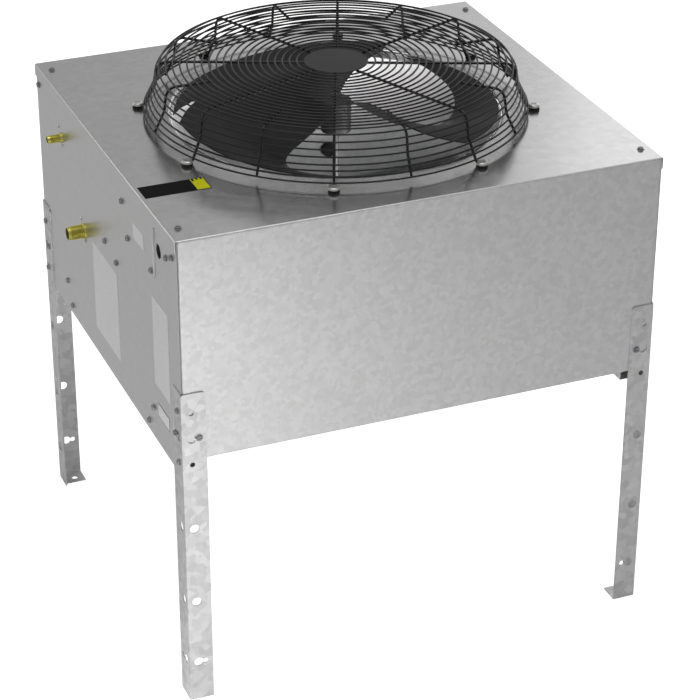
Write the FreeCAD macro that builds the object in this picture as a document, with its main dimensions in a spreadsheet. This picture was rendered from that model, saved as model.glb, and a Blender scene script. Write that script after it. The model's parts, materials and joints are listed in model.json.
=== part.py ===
import FreeCAD, Part
import math
import os
import Sketcher
from FreeCAD import Placement, Rotation, Vector

# Remote condenser: a sheet-metal cabinet on four angle legs. A coil lies flat in its open bottom, and a
# fan in the top deck draws air up through it and out under a domed wire guard.
# Origin: floor level, at the centre of the rectangle of the four foot holes. +Z is up, the plain front
# faces -Y, and the service side with the two refrigerant couplings faces -X. All sizes are millimetres.

SIZES = {
    # Top deck
    "deck_width": 775.0,
    "deck_depth": 716.0,
    "deck_top": 790.0,
    "deck_sheet": 1.6,
    "deck_lip": 19.0,
    "deck_edge_round": 1.2,
    "lip_slit": 2.0,
    "orifice_radius": 259.0,
    "orifice_flange": 15.0,
    # Cabinet panels
    "panel_sheet": 1.2,
    "lip_clearance": 0.4,
    "front_height": 360.0,
    "side_height": 391.0,
    "panel_flange": 12.0,
    "head_flange": 24.0,
    "end_face_inset": 3.5,
    "corner_flange": 20.0,
    "corner_clearance": 1.5,
    # Angle legs
    "leg_top": 544.0,
    "leg_sheet": 2.0,
    "leg_front_width": 38.4,
    "leg_side_width": 40.8,
    "leg_corner_round": 7.0,
    "leg_hole_inset": 15.5,
    "screw_hole_high": 511.0,
    "keyhole_high": 468.0,
    "screw_hole_low": 424.0,
    "stacking_hole_high": 312.0,
    "stacking_hole_low": 181.0,
    "keyhole_low": 69.5,
    "screw_hole_radius": 4.0,
    "stacking_hole_radius": 7.5,
    "keyhole_lobe_radius": 4.5,
    "keyhole_step": 11.5,
    "foot_depth": 34.0,
    "foot_hole_x_inset": 22.0,
    "foot_hole_y_inset": 20.5,
    "foot_hole_radius": 5.5,
    # Screws
    "screw_head_radius": 5.8,
    "screw_head_height": 3.6,
    "deck_screw_x_inset": 18.6,
    "deck_screw_y_inset": 40.0,
    # Wire guard over the fan
    "ring_wire": 2.6,
    "ring_sides": 32,
    "strut_wire": 4.0,
    "guard_height": 80.6,
    "guard_disc_radius": 50.0,
    "guard_disc_sheet": 2.0,
    "ring_first_radius": 61.2,
    "ring_pitch": 11.32,
    "flat_ring_count": 19,
    "side_ring_count": 8,
    "shoulder_radius": 20.0,
    "shoulder_start": 262.0,
    "knee_radius": 284.9,
    "knee_height": 41.0,
    "base_ring_radius": 300.6,
    "base_ring_height": 9.9,
    "long_strut_count": 8,
    "short_strut_start": 202.0,
    "guard_bolt_radius": 310.5,
    "guard_eye_radius": 7.6,
    "guard_washer_height": 3.0,
    "guard_washer_radius": 8.2,
    # Fan
    "blade_count": 3,
    "fan_radius": 255.0,
    "blade_sheet": 2.0,
    "blade_root_radius": 15.5,
    "upper_angle": 57.4,
    "upper_sweep": -43.8,
    "upper_curve": 2.3,
    "upper_hook": 42.3,
    "root_span": 54.2,
    "span_growth": -29.0,
    "span_curve": 31.9,
    "span_hook": 46.1,
    "upper_root_rise": 9.6,
    "upper_tip_rise": 13.5,
    "upper_middle_rise": 30.3,
    "lower_root_rise": 15.9,
    "lower_tip_rise": -5.7,
    "lower_middle_rise": -35.9,
    "blade_crown": -2.5,
    "hub_radius": 24.0,
    "hub_height": 52.0,
    "hub_top_rise": 16.0,
    "shaft_radius": 4.0,
    "running_clearance": 0.05,
    # Motor and its bracket
    "motor_radius": 60.0,
    "motor_height": 66.0,
    "motor_shoulder": 14.0,
    "motor_cap_radius": 26.0,
    "motor_cap_height": 6.0,
    "bearing_radius": 13.0,
    "bearing_height": 9.0,
    "shaft_well": 52.0,
    "bracket_top": 545.0,
    "bracket_width": 130.0,
    "bracket_sheet": 2.0,
    "bracket_flange": 24.0,
    "bracket_tab_rise": 42.0,
    "bolt_circle_radius": 48.0,
    "bolt_radius": 3.0,
    # Coil
    "coil_height": 68.0,
    "coil_lift": 26.0,
    "coil_end_space": 32.0,
    "coil_side_space": 14.0,
    "end_plate_sheet": 1.2,
    "tube_radius": 4.8,
    "tube_pitch": 25.4,
    "row_pitch": 22.0,
    "row_count": 3,
    "bend_reach": 20.0,
    "fin_groove": 5.0,
    "fin_groove_count": 40,
    # Refrigerant couplings on the service side, placed by a share of its depth and a drop from the deck top
    "liquid_coupling_share": 0.81508,
    "liquid_coupling_drop": 79.2,
    "liquid_thread_radius": 7.0,
    "liquid_reach": 23.0,
    "gas_coupling_share": 0.66201,
    "gas_coupling_drop": 196.0,
    "gas_thread_radius": 11.5,
    "gas_reach": 28.0,
    "coupling_collar": 3.0,
    "coupling_wall": 2.0,
    "coupling_tail": 14.0,
    "pipe_bend_radius": 24.0,
    "pipe_straight": 2.0,
    # Electrical box behind the service side
    "box_partition_y": 104.4,
    "box_depth": 74.0,
    "box_drop": 16.0,
    "box_height": 96.0,
    "box_tab_drop": 24.5,
    "box_tab_height": 79.3,
    "box_tab_reach": 2.4,
    "slot_clearance": 0.3,
    "conduit_y": 83.7,
    "conduit_drop": 52.8,
    "conduit_radius": 11.1,
    "capacitor_radius": 19.0,
    "capacitor_height": 58.0,
    "terminal_length": 46.0,
    "terminal_width": 22.0,
    "terminal_height": 16.0,
}

doc = FreeCAD.newDocument("remote_condenser")
sheet = doc.addObject("Spreadsheet::Sheet", "Sizes")
for row, (alias, number) in enumerate(SIZES.items(), 1):
    sheet.set(f"A{row}", alias)
    sheet.set(f"B{row}", str(number))
    sheet.setAlias(f"B{row}", alias)
doc.recompute()


class Size:
    """A length known both as a number and as the formula that gives it from the sheet."""

    def __init__(self, value, text):
        self.value = value
        self.text = text

    def __add__(self, other):
        other = as_size(other)
        return Size(self.value + other.value, f"({self.text} + {other.text})")

    def __sub__(self, other):
        other = as_size(other)
        return Size(self.value - other.value, f"({self.text} - {other.text})")

    def __mul__(self, factor):
        factor = as_size(factor)
        return Size(self.value * factor.value, f"({self.text} * {factor.text})")

    def __truediv__(self, divisor):
        return Size(self.value / divisor, f"({self.text} / {divisor:.9g})")

    def __neg__(self):
        return Size(-self.value, f"(0 - {self.text})")

    def __radd__(self, other):
        return as_size(other) + self

    def __rsub__(self, other):
        return as_size(other) - self

    def __rmul__(self, factor):
        return self * factor


def as_size(number):
    return number if isinstance(number, Size) else Size(float(number), f"{number:.9g}")


class Named:
    """Every cell of the sheet under its own name."""


s = Named()
for alias in SIZES:
    setattr(s, alias, Size(float(sheet.get(alias)), "Sizes." + alias))

AXIS_TURNS = {
    "x": Rotation(Vector(0, 1, 0), 90),
    "y": Rotation(Vector(1, 0, 0), -90),
    "z": Rotation(),
}
nodes = []


def bind(thing, **sizes):
    for field, size in sizes.items():
        thing.setExpression(field, as_size(size).text)


def place(thing, x=0, y=0, z=0, rotation=None):
    """Set a piece at a place that follows the sheet."""
    start = Vector(as_size(x).value, as_size(y).value, as_size(z).value)
    thing.Placement = Placement(start, rotation or Rotation())
    for axis, size in zip("xyz", (x, y, z)):
        thing.setExpression("Placement.Base." + axis, as_size(size).text)


def box(name, low, high):
    block = doc.addObject("Part::Box", name)
    length, width, height = [as_size(top) - base for base, top in zip(low, high)]
    bind(block, Length=length, Width=width, Height=height)
    place(block, *low)
    return block


def rod(name, radius, length, foot, axis="z"):
    """A round bar from its foot along +X, +Y or +Z."""
    bar = doc.addObject("Part::Cylinder", name)
    bind(bar, Radius=radius, Height=length)
    place(bar, *foot, AXIS_TURNS[axis])
    return bar


def hexagon(name, radius, length, foot, axis="z"):
    """A six-sided bar, such as a screw head, from its foot along an axis."""
    bar = doc.addObject("Part::Prism", name)
    bar.Polygon = 6
    bind(bar, Circumradius=radius, Height=length)
    place(bar, *foot, AXIS_TURNS[axis])
    return bar


def joined(name, pieces):
    fuse = doc.addObject("Part::MultiFuse", name)
    fuse.Shapes = pieces
    return fuse


def together(name, pieces):
    group = doc.addObject("Part::Compound", name)
    group.Links = pieces
    return group


def less(name, base, tools):
    """Cut tools, which may overlap, out of a base."""
    cut = doc.addObject("Part::Cut", name)
    cut.Base = base
    cut.Tool = tools[0] if len(tools) == 1 else joined(name + "_tools", tools)
    return cut


def mirrored(name, source, normal):
    copy = doc.addObject("Part::Mirroring", name)
    copy.Source = source
    copy.Normal = Vector(*normal)
    return copy


def node(label, thing):
    """Take a finished piece into the list of sub-parts under its own name."""
    thing.Label = label
    nodes.append(thing)
    return thing


def shaped(label, shape):
    """A sub-part whose form no primitive gives, worked out from the sheet's values."""
    piece = doc.addObject("Part::Feature", label)
    piece.Shape = shape
    piece.Placement = Placement()
    return node(label, piece)


# Sketches

def new_sketch(body, name, role):
    """A sketch on one of the body's own origin planes."""
    sketch = body.newObject("Sketcher::SketchObject", name)
    plane = next(item for item in body.Origin.OriginFeatures if item.Role == role)
    sketch.AttachmentSupport = [(plane, "")]
    sketch.MapMode = "FlatFace"
    return sketch


def hold(sketch, geometry, point, x, y):
    """Hold one point of a sketch at two distances from its origin."""
    for kind, size, axis_line in (("DistanceX", x, -2), ("DistanceY", y, -1)):
        size = as_size(size)
        if size.text == "0":
            sketch.addConstraint(Sketcher.Constraint("PointOnObject", geometry, point, axis_line))
        else:
            index = sketch.addConstraint(Sketcher.Constraint(kind, -1, 1, geometry, point, size.value))
            sketch.setExpression(f"Constraints[{index}]", size.text)


def outline(sketch, corners):
    """A closed outline of straight lines through its corners."""
    first = sketch.GeometryCount
    spots = [Vector(as_size(x).value, as_size(y).value, 0) for x, y in corners]
    for start, end in zip(spots, spots[1:] + spots[:1]):
        sketch.addGeometry(Part.LineSegment(start, end), False)
    count = len(corners)
    for index in range(count):
        following = first + (index + 1) % count
        sketch.addConstraint(Sketcher.Constraint("Coincident", first + index, 2, following, 1))
    for index, (x, y) in enumerate(corners):
        hold(sketch, first + index, 1, x, y)


def ring(sketch, x, y, radius):
    """A circle in a sketch."""
    radius = as_size(radius)
    centre = Vector(as_size(x).value, as_size(y).value, 0)
    index = sketch.addGeometry(Part.Circle(centre, Vector(0, 0, 1), radius.value), False)
    hold(sketch, index, 3, x, y)
    limit = sketch.addConstraint(Sketcher.Constraint("Radius", index, radius.value))
    sketch.setExpression(f"Constraints[{limit}]", radius.text)


def rectangle(sketch, low, high):
    outline(sketch, [(low[0], low[1]), (high[0], low[1]), (high[0], high[1]), (low[0], high[1])])


def feature(body, kind, name, sketch, reverse=False, **sizes):
    step = body.newObject("PartDesign::" + kind, name)
    step.Profile = sketch
    step.Reversed = reverse
    bind(step, **sizes)
    sketch.Visibility = False
    return step


def turned(name, corners):
    """A body of revolution about Z, from its outline of radius and height."""
    body = doc.addObject("PartDesign::Body", name)
    sketch = new_sketch(body, name + "_outline", "XZ_Plane")
    outline(sketch, corners)
    turn = body.newObject("PartDesign::Revolution", name + "_turned")
    turn.Profile = sketch
    turn.ReferenceAxis = (sketch, ["V_Axis"])
    turn.Angle = 360.0
    return body


half_width = s.deck_width / 2
half_depth = s.deck_depth / 2
panel_x = half_width - s.deck_sheet - s.lip_clearance
end_face_x = half_width - s.end_face_inset
leg_y = half_depth + s.leg_sheet
deck_under = s.deck_top - s.deck_sheet
front_bottom = s.deck_top - s.front_height
side_bottom = s.deck_top - s.side_height
wall_x = panel_x - s.panel_sheet
wall_y = half_depth - s.panel_sheet


# Top deck: a plate with a lip turned down at its left and right edges, and a drawn orifice for the fan

deck = doc.addObject("PartDesign::Body", "top_deck")
plate_outline = new_sketch(deck, "deck_plate_outline", "XY_Plane")
rectangle(plate_outline, (-half_width, -half_depth), (half_width, half_depth))
ring(plate_outline, 0, 0, s.orifice_radius)
plate = feature(deck, "Pad", "deck_plate", plate_outline, True, Length=s.deck_sheet)
throat_outline = new_sketch(deck, "deck_throat_outline", "XY_Plane")
ring(throat_outline, 0, 0, s.orifice_radius)
ring(throat_outline, 0, 0, s.orifice_radius + s.deck_sheet)
throat = feature(deck, "Pad", "deck_throat", throat_outline, True, Length=s.orifice_flange)
doc.recompute()


def outer_edges(shape):
    """The four long top edges of the deck."""
    names = []
    for number, edge in enumerate(shape.Edges, 1):
        corner = edge.BoundBox
        on_top = abs(corner.ZMax) < 0.01 and abs(corner.ZMin) < 0.01
        if on_top and edge.Length > s.deck_depth.value / 2 and len(edge.Vertexes) == 2:
            names.append(f"Edge{number}")
    return names


bends = deck.newObject("PartDesign::Fillet", "deck_bends")
bends.Base = (throat, outer_edges(throat.Shape))
bind(bends, Radius=s.deck_edge_round)
lip_outline = new_sketch(deck, "deck_lip_outline", "XY_Plane")
lip_end_y = half_depth - s.lip_slit
rectangle(lip_outline, (-half_width, -lip_end_y), (-half_width + s.deck_sheet, lip_end_y))
rectangle(lip_outline, (half_width - s.deck_sheet, -lip_end_y), (half_width, lip_end_y))
lip_outline.setExpression("AttachmentOffset.Base.z", (-s.deck_edge_round).text)
lips = feature(deck, "Pad", "deck_lips", lip_outline, True, Length=s.deck_lip - s.deck_edge_round)
place(deck, z=s.deck_top)
node("top_deck", deck)


# Cabinet panels: folded sheet, each with its flanges

def folded_end_panel(name, side):
    """Front or rear panel: its face runs down from the deck's edge, with flanges behind all four sides."""
    head_x = wall_x - s.corner_flange
    reach = wall_y - s.panel_flange
    corner_reach = wall_y - s.corner_flange
    inner_x = end_face_x - s.panel_sheet
    pieces = [
        box(name + "_face", (-end_face_x, -half_depth, front_bottom), (end_face_x, -wall_y, deck_under)),
        box(name + "_foot", (-head_x, -wall_y, front_bottom), (head_x, -reach, front_bottom + s.panel_sheet)),
        box(name + "_head", (-head_x, -wall_y, deck_under - s.panel_sheet), (head_x, -reach, deck_under)),
        box(name + "_left_corner", (-end_face_x, -wall_y, front_bottom), (-inner_x, -corner_reach, deck_under)),
        box(name + "_right_corner", (inner_x, -wall_y, front_bottom), (end_face_x, -corner_reach, deck_under)),
    ]
    panel = joined(name + "_folded", pieces)
    return panel if side < 0 else mirrored(name + "_mirror", panel, (0, 1, 0))


node("front_panel", folded_end_panel("front_panel", -1))
node("rear_panel", folded_end_panel("rear_panel", 1))


def folded_side_panel(name):
    """Side panel: its face laps over the corner flanges of the end panels and has a flange top and foot."""
    reach = wall_x - s.panel_flange
    face_end = half_depth - s.corner_clearance
    flange_end = wall_y - s.corner_flange - s.corner_clearance
    pieces = [
        box(name + "_face", (-panel_x, -face_end, side_bottom), (-wall_x, face_end, deck_under)),
        box(name + "_foot", (-wall_x, -flange_end, side_bottom),
            (-reach, flange_end, side_bottom + s.panel_sheet)),
        box(name + "_head", (-wall_x, -flange_end, deck_under - s.panel_sheet),
            (-wall_x + s.head_flange, flange_end, deck_under)),
    ]
    return joined(name + "_folded", pieces)


liquid_y = s.deck_depth * s.liquid_coupling_share - half_depth
liquid_z = s.deck_top - s.liquid_coupling_drop
gas_y = s.deck_depth * s.gas_coupling_share - half_depth
gas_z = s.deck_top - s.gas_coupling_drop
conduit_y = s.conduit_y - half_depth
conduit_z = s.deck_top - s.conduit_drop
partition_y = s.box_partition_y - half_depth
tab_top = s.deck_top - s.box_tab_drop
tab_foot = tab_top - s.box_tab_height
cut_start = -panel_x - s.panel_sheet
cut_length = s.panel_sheet * 3

left_blank = folded_side_panel("left_panel")
left_cuts = [
    rod("liquid_opening", s.liquid_thread_radius + s.slot_clearance, cut_length,
        (cut_start, liquid_y, liquid_z), "x"),
    rod("gas_opening", s.gas_thread_radius + s.slot_clearance, cut_length, (cut_start, gas_y, gas_z), "x"),
    rod("conduit_opening", s.conduit_radius, cut_length, (cut_start, conduit_y, conduit_z), "x"),
    box("tab_slot", (cut_start, partition_y - s.panel_sheet - s.slot_clearance, tab_foot - s.slot_clearance),
        (cut_start + cut_length, partition_y + s.slot_clearance, tab_top + s.slot_clearance)),
]
node("left_panel", less("left_panel_cut", left_blank, left_cuts))
node("right_panel", mirrored("right_panel_mirror", folded_side_panel("right_panel"), (1, 0, 0)))


# Legs: folded angles outside the corners, pierced alike on both flanges, with a foot turned inward

leg = doc.addObject("PartDesign::Body", "leg_front_left")
angle_outline = new_sketch(leg, "leg_angle_outline", "XY_Plane")
outline(angle_outline, [
    (0, 0), (s.leg_front_width, 0), (s.leg_front_width, s.leg_sheet),
    (s.leg_sheet, s.leg_sheet), (s.leg_sheet, s.leg_side_width), (0, s.leg_side_width)])
feature(leg, "Pad", "leg_angle", angle_outline, Length=s.leg_top)
foot_outline = new_sketch(leg, "leg_foot_outline", "XY_Plane")
rectangle(foot_outline, (s.leg_sheet * 1.5, s.leg_sheet), (s.leg_front_width, s.foot_depth))
ring(foot_outline, s.foot_hole_x_inset, s.foot_hole_y_inset, s.foot_hole_radius)
leg_step = feature(leg, "Pad", "leg_foot", foot_outline, Length=s.leg_sheet)

LEG_HOLES = [
    (s.screw_hole_high, s.screw_hole_radius),
    (s.keyhole_high, s.stacking_hole_radius),
    (s.screw_hole_low, s.screw_hole_radius),
    (s.stacking_hole_high, s.stacking_hole_radius),
    (s.stacking_hole_low, s.stacking_hole_radius),
    (s.keyhole_low, s.stacking_hole_radius),
]
doc.recompute()


def pierce_leg(name, role, reverse):
    """Punch the row of holes through one flange."""
    row = new_sketch(leg, name + "_row", role)
    for height, radius in LEG_HOLES:
        ring(row, s.leg_hole_inset, height, radius)
    cut = feature(leg, "Pocket", name, row, reverse, Length=s.leg_sheet)
    lobes = new_sketch(leg, name + "_lobe_row", role)
    for height in (s.keyhole_high, s.keyhole_low):
        ring(lobes, s.leg_hole_inset + s.keyhole_step, height, s.keyhole_lobe_radius)
    return feature(leg, "Pocket", name + "_lobes", lobes, reverse, Length=s.leg_sheet)


solid_before = leg_step.Shape.Volume
pierce_leg("front_holes", "XZ_Plane", False)
last_cut = pierce_leg("side_holes", "YZ_Plane", True)
doc.recompute()
hole_area = sum(math.pi * radius.value ** 2 for height, radius in LEG_HOLES)
lobe_area = 2 * math.pi * s.keyhole_lobe_radius.value ** 2
removed = solid_before - last_cut.Shape.Volume
wanted = 2 * (hole_area + lobe_area) * s.leg_sheet.value
if removed < 0.8 * wanted:
    raise ValueError(f"leg holes removed {removed:.0f} of {wanted:.0f} cubic millimetres")


def top_corners(shape):
    """The short edges at the two free top corners of the flanges."""
    names = []
    for number, edge in enumerate(shape.Edges, 1):
        span = edge.BoundBox
        high = abs(span.ZMin - s.leg_top.value) < 0.01 and abs(edge.Length - s.leg_sheet.value) < 0.01
        far = span.XMin > s.leg_front_width.value - 0.1 or span.YMin > s.leg_side_width.value - 0.1
        if high and far:
            names.append(f"Edge{number}")
    return names


rounded = leg.newObject("PartDesign::Fillet", "leg_top_corners")
rounded.Base = (last_cut, top_corners(last_cut.Shape))
bind(rounded, Radius=s.leg_corner_round)
place(leg, -half_width, -leg_y, 0)
node("leg_front_left", leg)
front_right = node("leg_front_right", mirrored("leg_front_right", leg, (1, 0, 0)))
node("leg_rear_left", mirrored("leg_rear_left", leg, (0, 1, 0)))
node("leg_rear_right", mirrored("leg_rear_right", front_right, (0, 1, 0)))


# Screws: those in the legs, in the side panels, in the deck and at the guard's feet

def side_screw(name, side, y, z, surface):
    """The hexagon head of a screw on a side face."""
    head_x = surface if side > 0 else -surface - s.screw_head_height
    return hexagon(name, s.screw_head_radius, s.screw_head_height, (head_x, y, z), "x")


def end_screw(name, side, x, z):
    """The hexagon head of a screw in the flange of a leg on the front or the rear."""
    head_y = leg_y if side > 0 else -leg_y - s.screw_head_height
    return hexagon(name, s.screw_head_radius, s.screw_head_height, (x, head_y, z), "y")


leg_screws = []
for side_x in (-1, 1):
    for side_y in (-1, 1):
        corner = f"{'r' if side_x > 0 else 'l'}{'b' if side_y > 0 else 'f'}"
        along = (leg_y - s.leg_hole_inset) * side_y
        lobe_y = (leg_y - s.leg_hole_inset - s.keyhole_step) * side_y
        lobe_x = (half_width - s.leg_hole_inset - s.keyhole_step) * side_x
        places = [(along, s.screw_hole_high), (lobe_y, s.keyhole_high), (along, s.screw_hole_low)]
        for number, (y, z) in enumerate(places):
            leg_screws.append(side_screw(f"leg_screw_{corner}{number}", side_x, y, z, half_width))
        leg_screws.append(end_screw(f"leg_screw_{corner}_end", side_y, lobe_x, s.keyhole_high))
node("leg_screws", together("leg_screws_group", leg_screws))

# Places of the panel screws: share of the depth from the front edge, and of the side's height from the top
PANEL_SCREWS = [(0.35824, 0.12379), (0.49944, 0.41049), (0.32682, 0.25601), (0.41927, 0.43939),
                (0.17011, 0.25857), (0.06802, 0.12046), (0.03017, 0.08824), (0.82179, 0.86445),
                (0.79050, 0.95729), (0.18827, 0.86522), (0.22304, 0.95499), (0.98059, 0.08389)]
panel_screws = []
for number, (depth_share, drop_share) in enumerate(PANEL_SCREWS):
    panel_screws.append(side_screw(f"panel_screw_{number}", -1, s.deck_depth * depth_share - half_depth,
                                   s.deck_top - s.side_height * drop_share, panel_x))
node("panel_screws", together("panel_screws_group", panel_screws))

deck_screws = []
for side_x in (-1, 1):
    for side_y in (-1, 1):
        spot = ((half_width - s.deck_screw_x_inset) * side_x, (half_depth - s.deck_screw_y_inset) * side_y,
                s.deck_top)
        deck_screws.append(hexagon(f"deck_screw_{side_x}_{side_y}", s.screw_head_radius,
                                   s.screw_head_height, spot))
node("deck_screws", together("deck_screws_group", deck_screws))


# Wire guard: flat rings on eight long struts, side rings round a shoulder, and eight short struts.
# Each wire is drawn with few flat faces, and every ring seats on the struts under it.

deck_level = s.deck_top.value
ring_wire = s.ring_wire.value
strut_wire = s.strut_wire.value
shoulder_centre = Vector(s.shoulder_start.value, 0, s.guard_height.value - s.shoulder_radius.value)
knee = Vector(s.knee_radius.value, 0, s.knee_height.value)
base = Vector(s.base_ring_radius.value, 0, s.base_ring_height.value)


def shoulder_end():
    """Angle from the vertical at which the shoulder's arc runs on, tangent, to the knee."""
    away = knee - shoulder_centre
    distance = away.Length
    lean = math.atan2(away.x, away.z)
    return lean - math.acos(s.shoulder_radius.value / distance)


shoulder_angle = shoulder_end()


def on_shoulder(angle, radius):
    return shoulder_centre + Vector(math.sin(angle), 0, math.cos(angle)) * radius


def guard_line(offset):
    """Corners and arc of the guard's outline, moved inward by an offset: flat, shoulder, wall, flare."""
    radius = s.shoulder_radius.value - offset
    wall_start = on_shoulder(shoulder_angle, radius)
    wall = (knee - on_shoulder(shoulder_angle, s.shoulder_radius.value)).normalize()
    flare = (base - knee).normalize()
    bisector = (Vector(-wall.z, 0, wall.x) + Vector(-flare.z, 0, flare.x)).normalize()
    lean = bisector.dot(Vector(-wall.z, 0, wall.x))
    inner_knee = knee - bisector * (offset / lean)
    inner_base = base - Vector(-flare.z, 0, flare.x) * offset
    return wall_start, inner_knee, inner_base


def along_guard(travel):
    """Point and direction on the guard's outer line, at a travel from the start of its shoulder."""
    arc_length = shoulder_angle * s.shoulder_radius.value
    wall_start, knee_point, base_point = guard_line(0)
    if travel <= arc_length:
        angle = travel / s.shoulder_radius.value
        return on_shoulder(angle, s.shoulder_radius.value), Vector(math.cos(angle), 0, -math.sin(angle))
    travel -= arc_length
    wall = knee_point - wall_start
    if travel <= wall.Length:
        return wall_start + wall.normalize() * travel, wall.normalize()
    travel -= wall.Length
    flare = base_point - knee_point
    direction = Vector(flare).normalize()
    return knee_point + direction * travel, direction


def closed_solid(faces):
    """A solid from the faces that close it."""
    shell = Part.makeShell(faces)
    shell.sewShape()
    solid = Part.makeSolid(shell)
    if solid.Volume < 0:
        solid.reverse()
    return solid


def wire_ring(point, direction):
    """One ring of wire in short straight runs, flat where it seats on the struts."""
    outward = Vector(-direction.z, 0, direction.x)
    half = ring_wire / 2
    corners = [point - outward * half - direction * half, point + outward * half,
               point - outward * half + direction * half]
    sides = int(s.ring_sides.value)
    turns = [Rotation(Vector(0, 0, 1), 360.0 / sides * number) for number in range(sides)]
    spots = [[turn.multVec(corner + Vector(0, 0, deck_level)) for corner in corners] for turn in turns]
    faces = []
    for here, there in zip(spots, spots[1:] + spots[:1]):
        for first, second in ((0, 1), (1, 2), (2, 0)):
            loop = [here[first], here[second], there[second], there[first], here[first]]
            faces.append(Part.Face(Part.makePolygon(loop)))
    return closed_solid(faces)


flat_count = int(s.flat_ring_count.value)
side_count = int(s.side_ring_count.value)
flat_radii = [s.ring_first_radius.value + s.ring_pitch.value * number for number in range(flat_count)]
top_rings = [wire_ring(Vector(radius, 0, s.guard_height.value), Vector(1, 0, 0)) for radius in flat_radii]
shaped("guard_top_rings", Part.makeCompound(top_rings))

last_flat = flat_radii[-1] - s.shoulder_start.value
arc_length = shoulder_angle * s.shoulder_radius.value
wall_start, knee_point, base_point = guard_line(0)
whole = arc_length + (knee_point - wall_start).Length + (base_point - knee_point).Length
upper_count = side_count - 3
upper_travel = [last_flat + s.ring_pitch.value * (number + 1) for number in range(upper_count)]
lower_pitch = (whole - upper_travel[-1]) / (side_count - upper_count)
lower_travel = [upper_travel[-1] + lower_pitch * (number + 1) for number in range(side_count - upper_count)]
side_rings = [wire_ring(*along_guard(travel)) for travel in upper_travel + lower_travel]
shaped("guard_side_rings", Part.makeCompound(side_rings))

strut_sink = (ring_wire + strut_wire) / 2
strut_level = s.guard_height.value - strut_sink


def strut(start_radius, eye_reach, turn):
    """A strut of square wire from a radius on the flat top, over the shoulder, down to its foot."""
    wall_top, inner_knee, inner_base = guard_line(strut_sink)
    start = Vector(start_radius, 0, strut_level)
    bend = Vector(s.shoulder_start.value, 0, strut_level)
    middle = on_shoulder(shoulder_angle / 2, s.shoulder_radius.value - strut_sink)
    edges = [Part.LineSegment(start, bend).toShape(), Part.Arc(bend, middle, wall_top).toShape(),
             Part.LineSegment(wall_top, inner_knee).toShape(),
             Part.LineSegment(inner_knee, inner_base).toShape()]
    if eye_reach:
        heel = Vector(inner_base.x + (inner_base.z - eye_level) * 0.5, 0, eye_level)
        edges.append(Part.LineSegment(inner_base, heel).toShape())
        edges.append(Part.LineSegment(heel, Vector(eye_reach, 0, eye_level)).toShape())
    half = strut_wire / 2
    section = Part.makePolygon([start + Vector(0, y, z) for y, z in
                                ((-half, -half), (half, -half), (half, half), (-half, half), (-half, -half))])
    bar = Part.BRepOffsetAPI.MakePipeShell(Part.Wire(edges))
    bar.setFrenetMode(True)
    bar.setTransitionMode(1)
    bar.add(section)
    bar.build()
    bar.makeSolid()
    shape = bar.shape()
    shape.translate(Vector(0, 0, deck_level))
    shape.rotate(Vector(), Vector(0, 0, 1), turn)
    return shape


eye_level = s.guard_washer_height.value + strut_wire / 2
long_count = int(s.long_strut_count.value)
step_angle = 360.0 / long_count
first_angle = step_angle / 2
long_struts = []
for number in range(long_count):
    turn = first_angle + step_angle * number
    eye_start = s.guard_bolt_radius.value - s.guard_eye_radius.value + 1.0
    bar = strut(s.guard_disc_radius.value - strut_wire, eye_start, turn)
    eye = Part.makeCylinder(s.guard_eye_radius.value, strut_wire,
                            Vector(s.guard_bolt_radius.value, 0, deck_level + s.guard_washer_height.value))
    eye.rotate(Vector(), Vector(0, 0, 1), turn)
    long_struts.append(bar.fuse(eye).removeSplitter())
shaped("guard_long_struts", Part.makeCompound(long_struts))
short_struts = [strut(s.short_strut_start.value, None, step_angle * number) for number in range(long_count)]
shaped("guard_short_struts", Part.makeCompound(short_struts))

disc_level = s.deck_top + s.guard_height - (s.ring_wire / 2)
node("guard_disc", rod("guard_disc_plate", s.guard_disc_radius, s.guard_disc_sheet, (0, 0, disc_level)))

washers = []
guard_screws = []
for number in range(long_count):
    angle = math.radians(first_angle + step_angle * number)
    x = s.guard_bolt_radius * math.cos(angle)
    y = s.guard_bolt_radius * math.sin(angle)
    washers.append(rod(f"guard_washer_{number}", s.guard_washer_radius, s.guard_washer_height,
                       (x, y, s.deck_top)))
    eye_top = s.deck_top + s.guard_washer_height + s.strut_wire
    guard_screws.append(hexagon(f"guard_screw_{number}", s.screw_head_radius, s.screw_head_height,
                                (x, y, eye_top)))
node("guard_washers", together("guard_washers_group", washers))
node("guard_screws", together("guard_screws_group", guard_screws))


# Fan: pressed blades on a turned hub, and the motor's shaft

blade_number = int(s.blade_count.value)
OUT_STEPS = 7
ACROSS_STEPS = 8


def grown(start, slope, curve, hook, out):
    """A value that grows from root to tip as a cubic."""
    return start.value + slope.value * out + curve.value * out ** 2 + hook.value * out ** 3


def risen(root, tip, middle, out):
    """A height that runs straight from root to tip, with a swell at its middle."""
    return root.value * (1 - out) + tip.value * out + middle.value * 4 * out * (1 - out)


def blade_point(out, across):
    """A point of the blade's middle surface: out from root to tip, across from one long edge to the other."""
    radius = s.blade_root_radius.value + (s.fan_radius.value - s.blade_root_radius.value) * out
    start = grown(s.upper_angle, s.upper_sweep, s.upper_curve, s.upper_hook, out)
    span = grown(s.root_span, s.span_growth, s.span_curve, s.span_hook, out)
    angle = math.radians(start + span * across)
    upper = risen(s.upper_root_rise, s.upper_tip_rise, s.upper_middle_rise, out)
    lower = risen(s.lower_root_rise, s.lower_tip_rise, s.lower_middle_rise, out)
    crown = s.blade_crown.value * 4 * across * (1 - across) * out
    rise = upper * (1 - across) + lower * across + crown
    return Vector(radius * math.cos(angle), radius * math.sin(angle), deck_level + rise)


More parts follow.
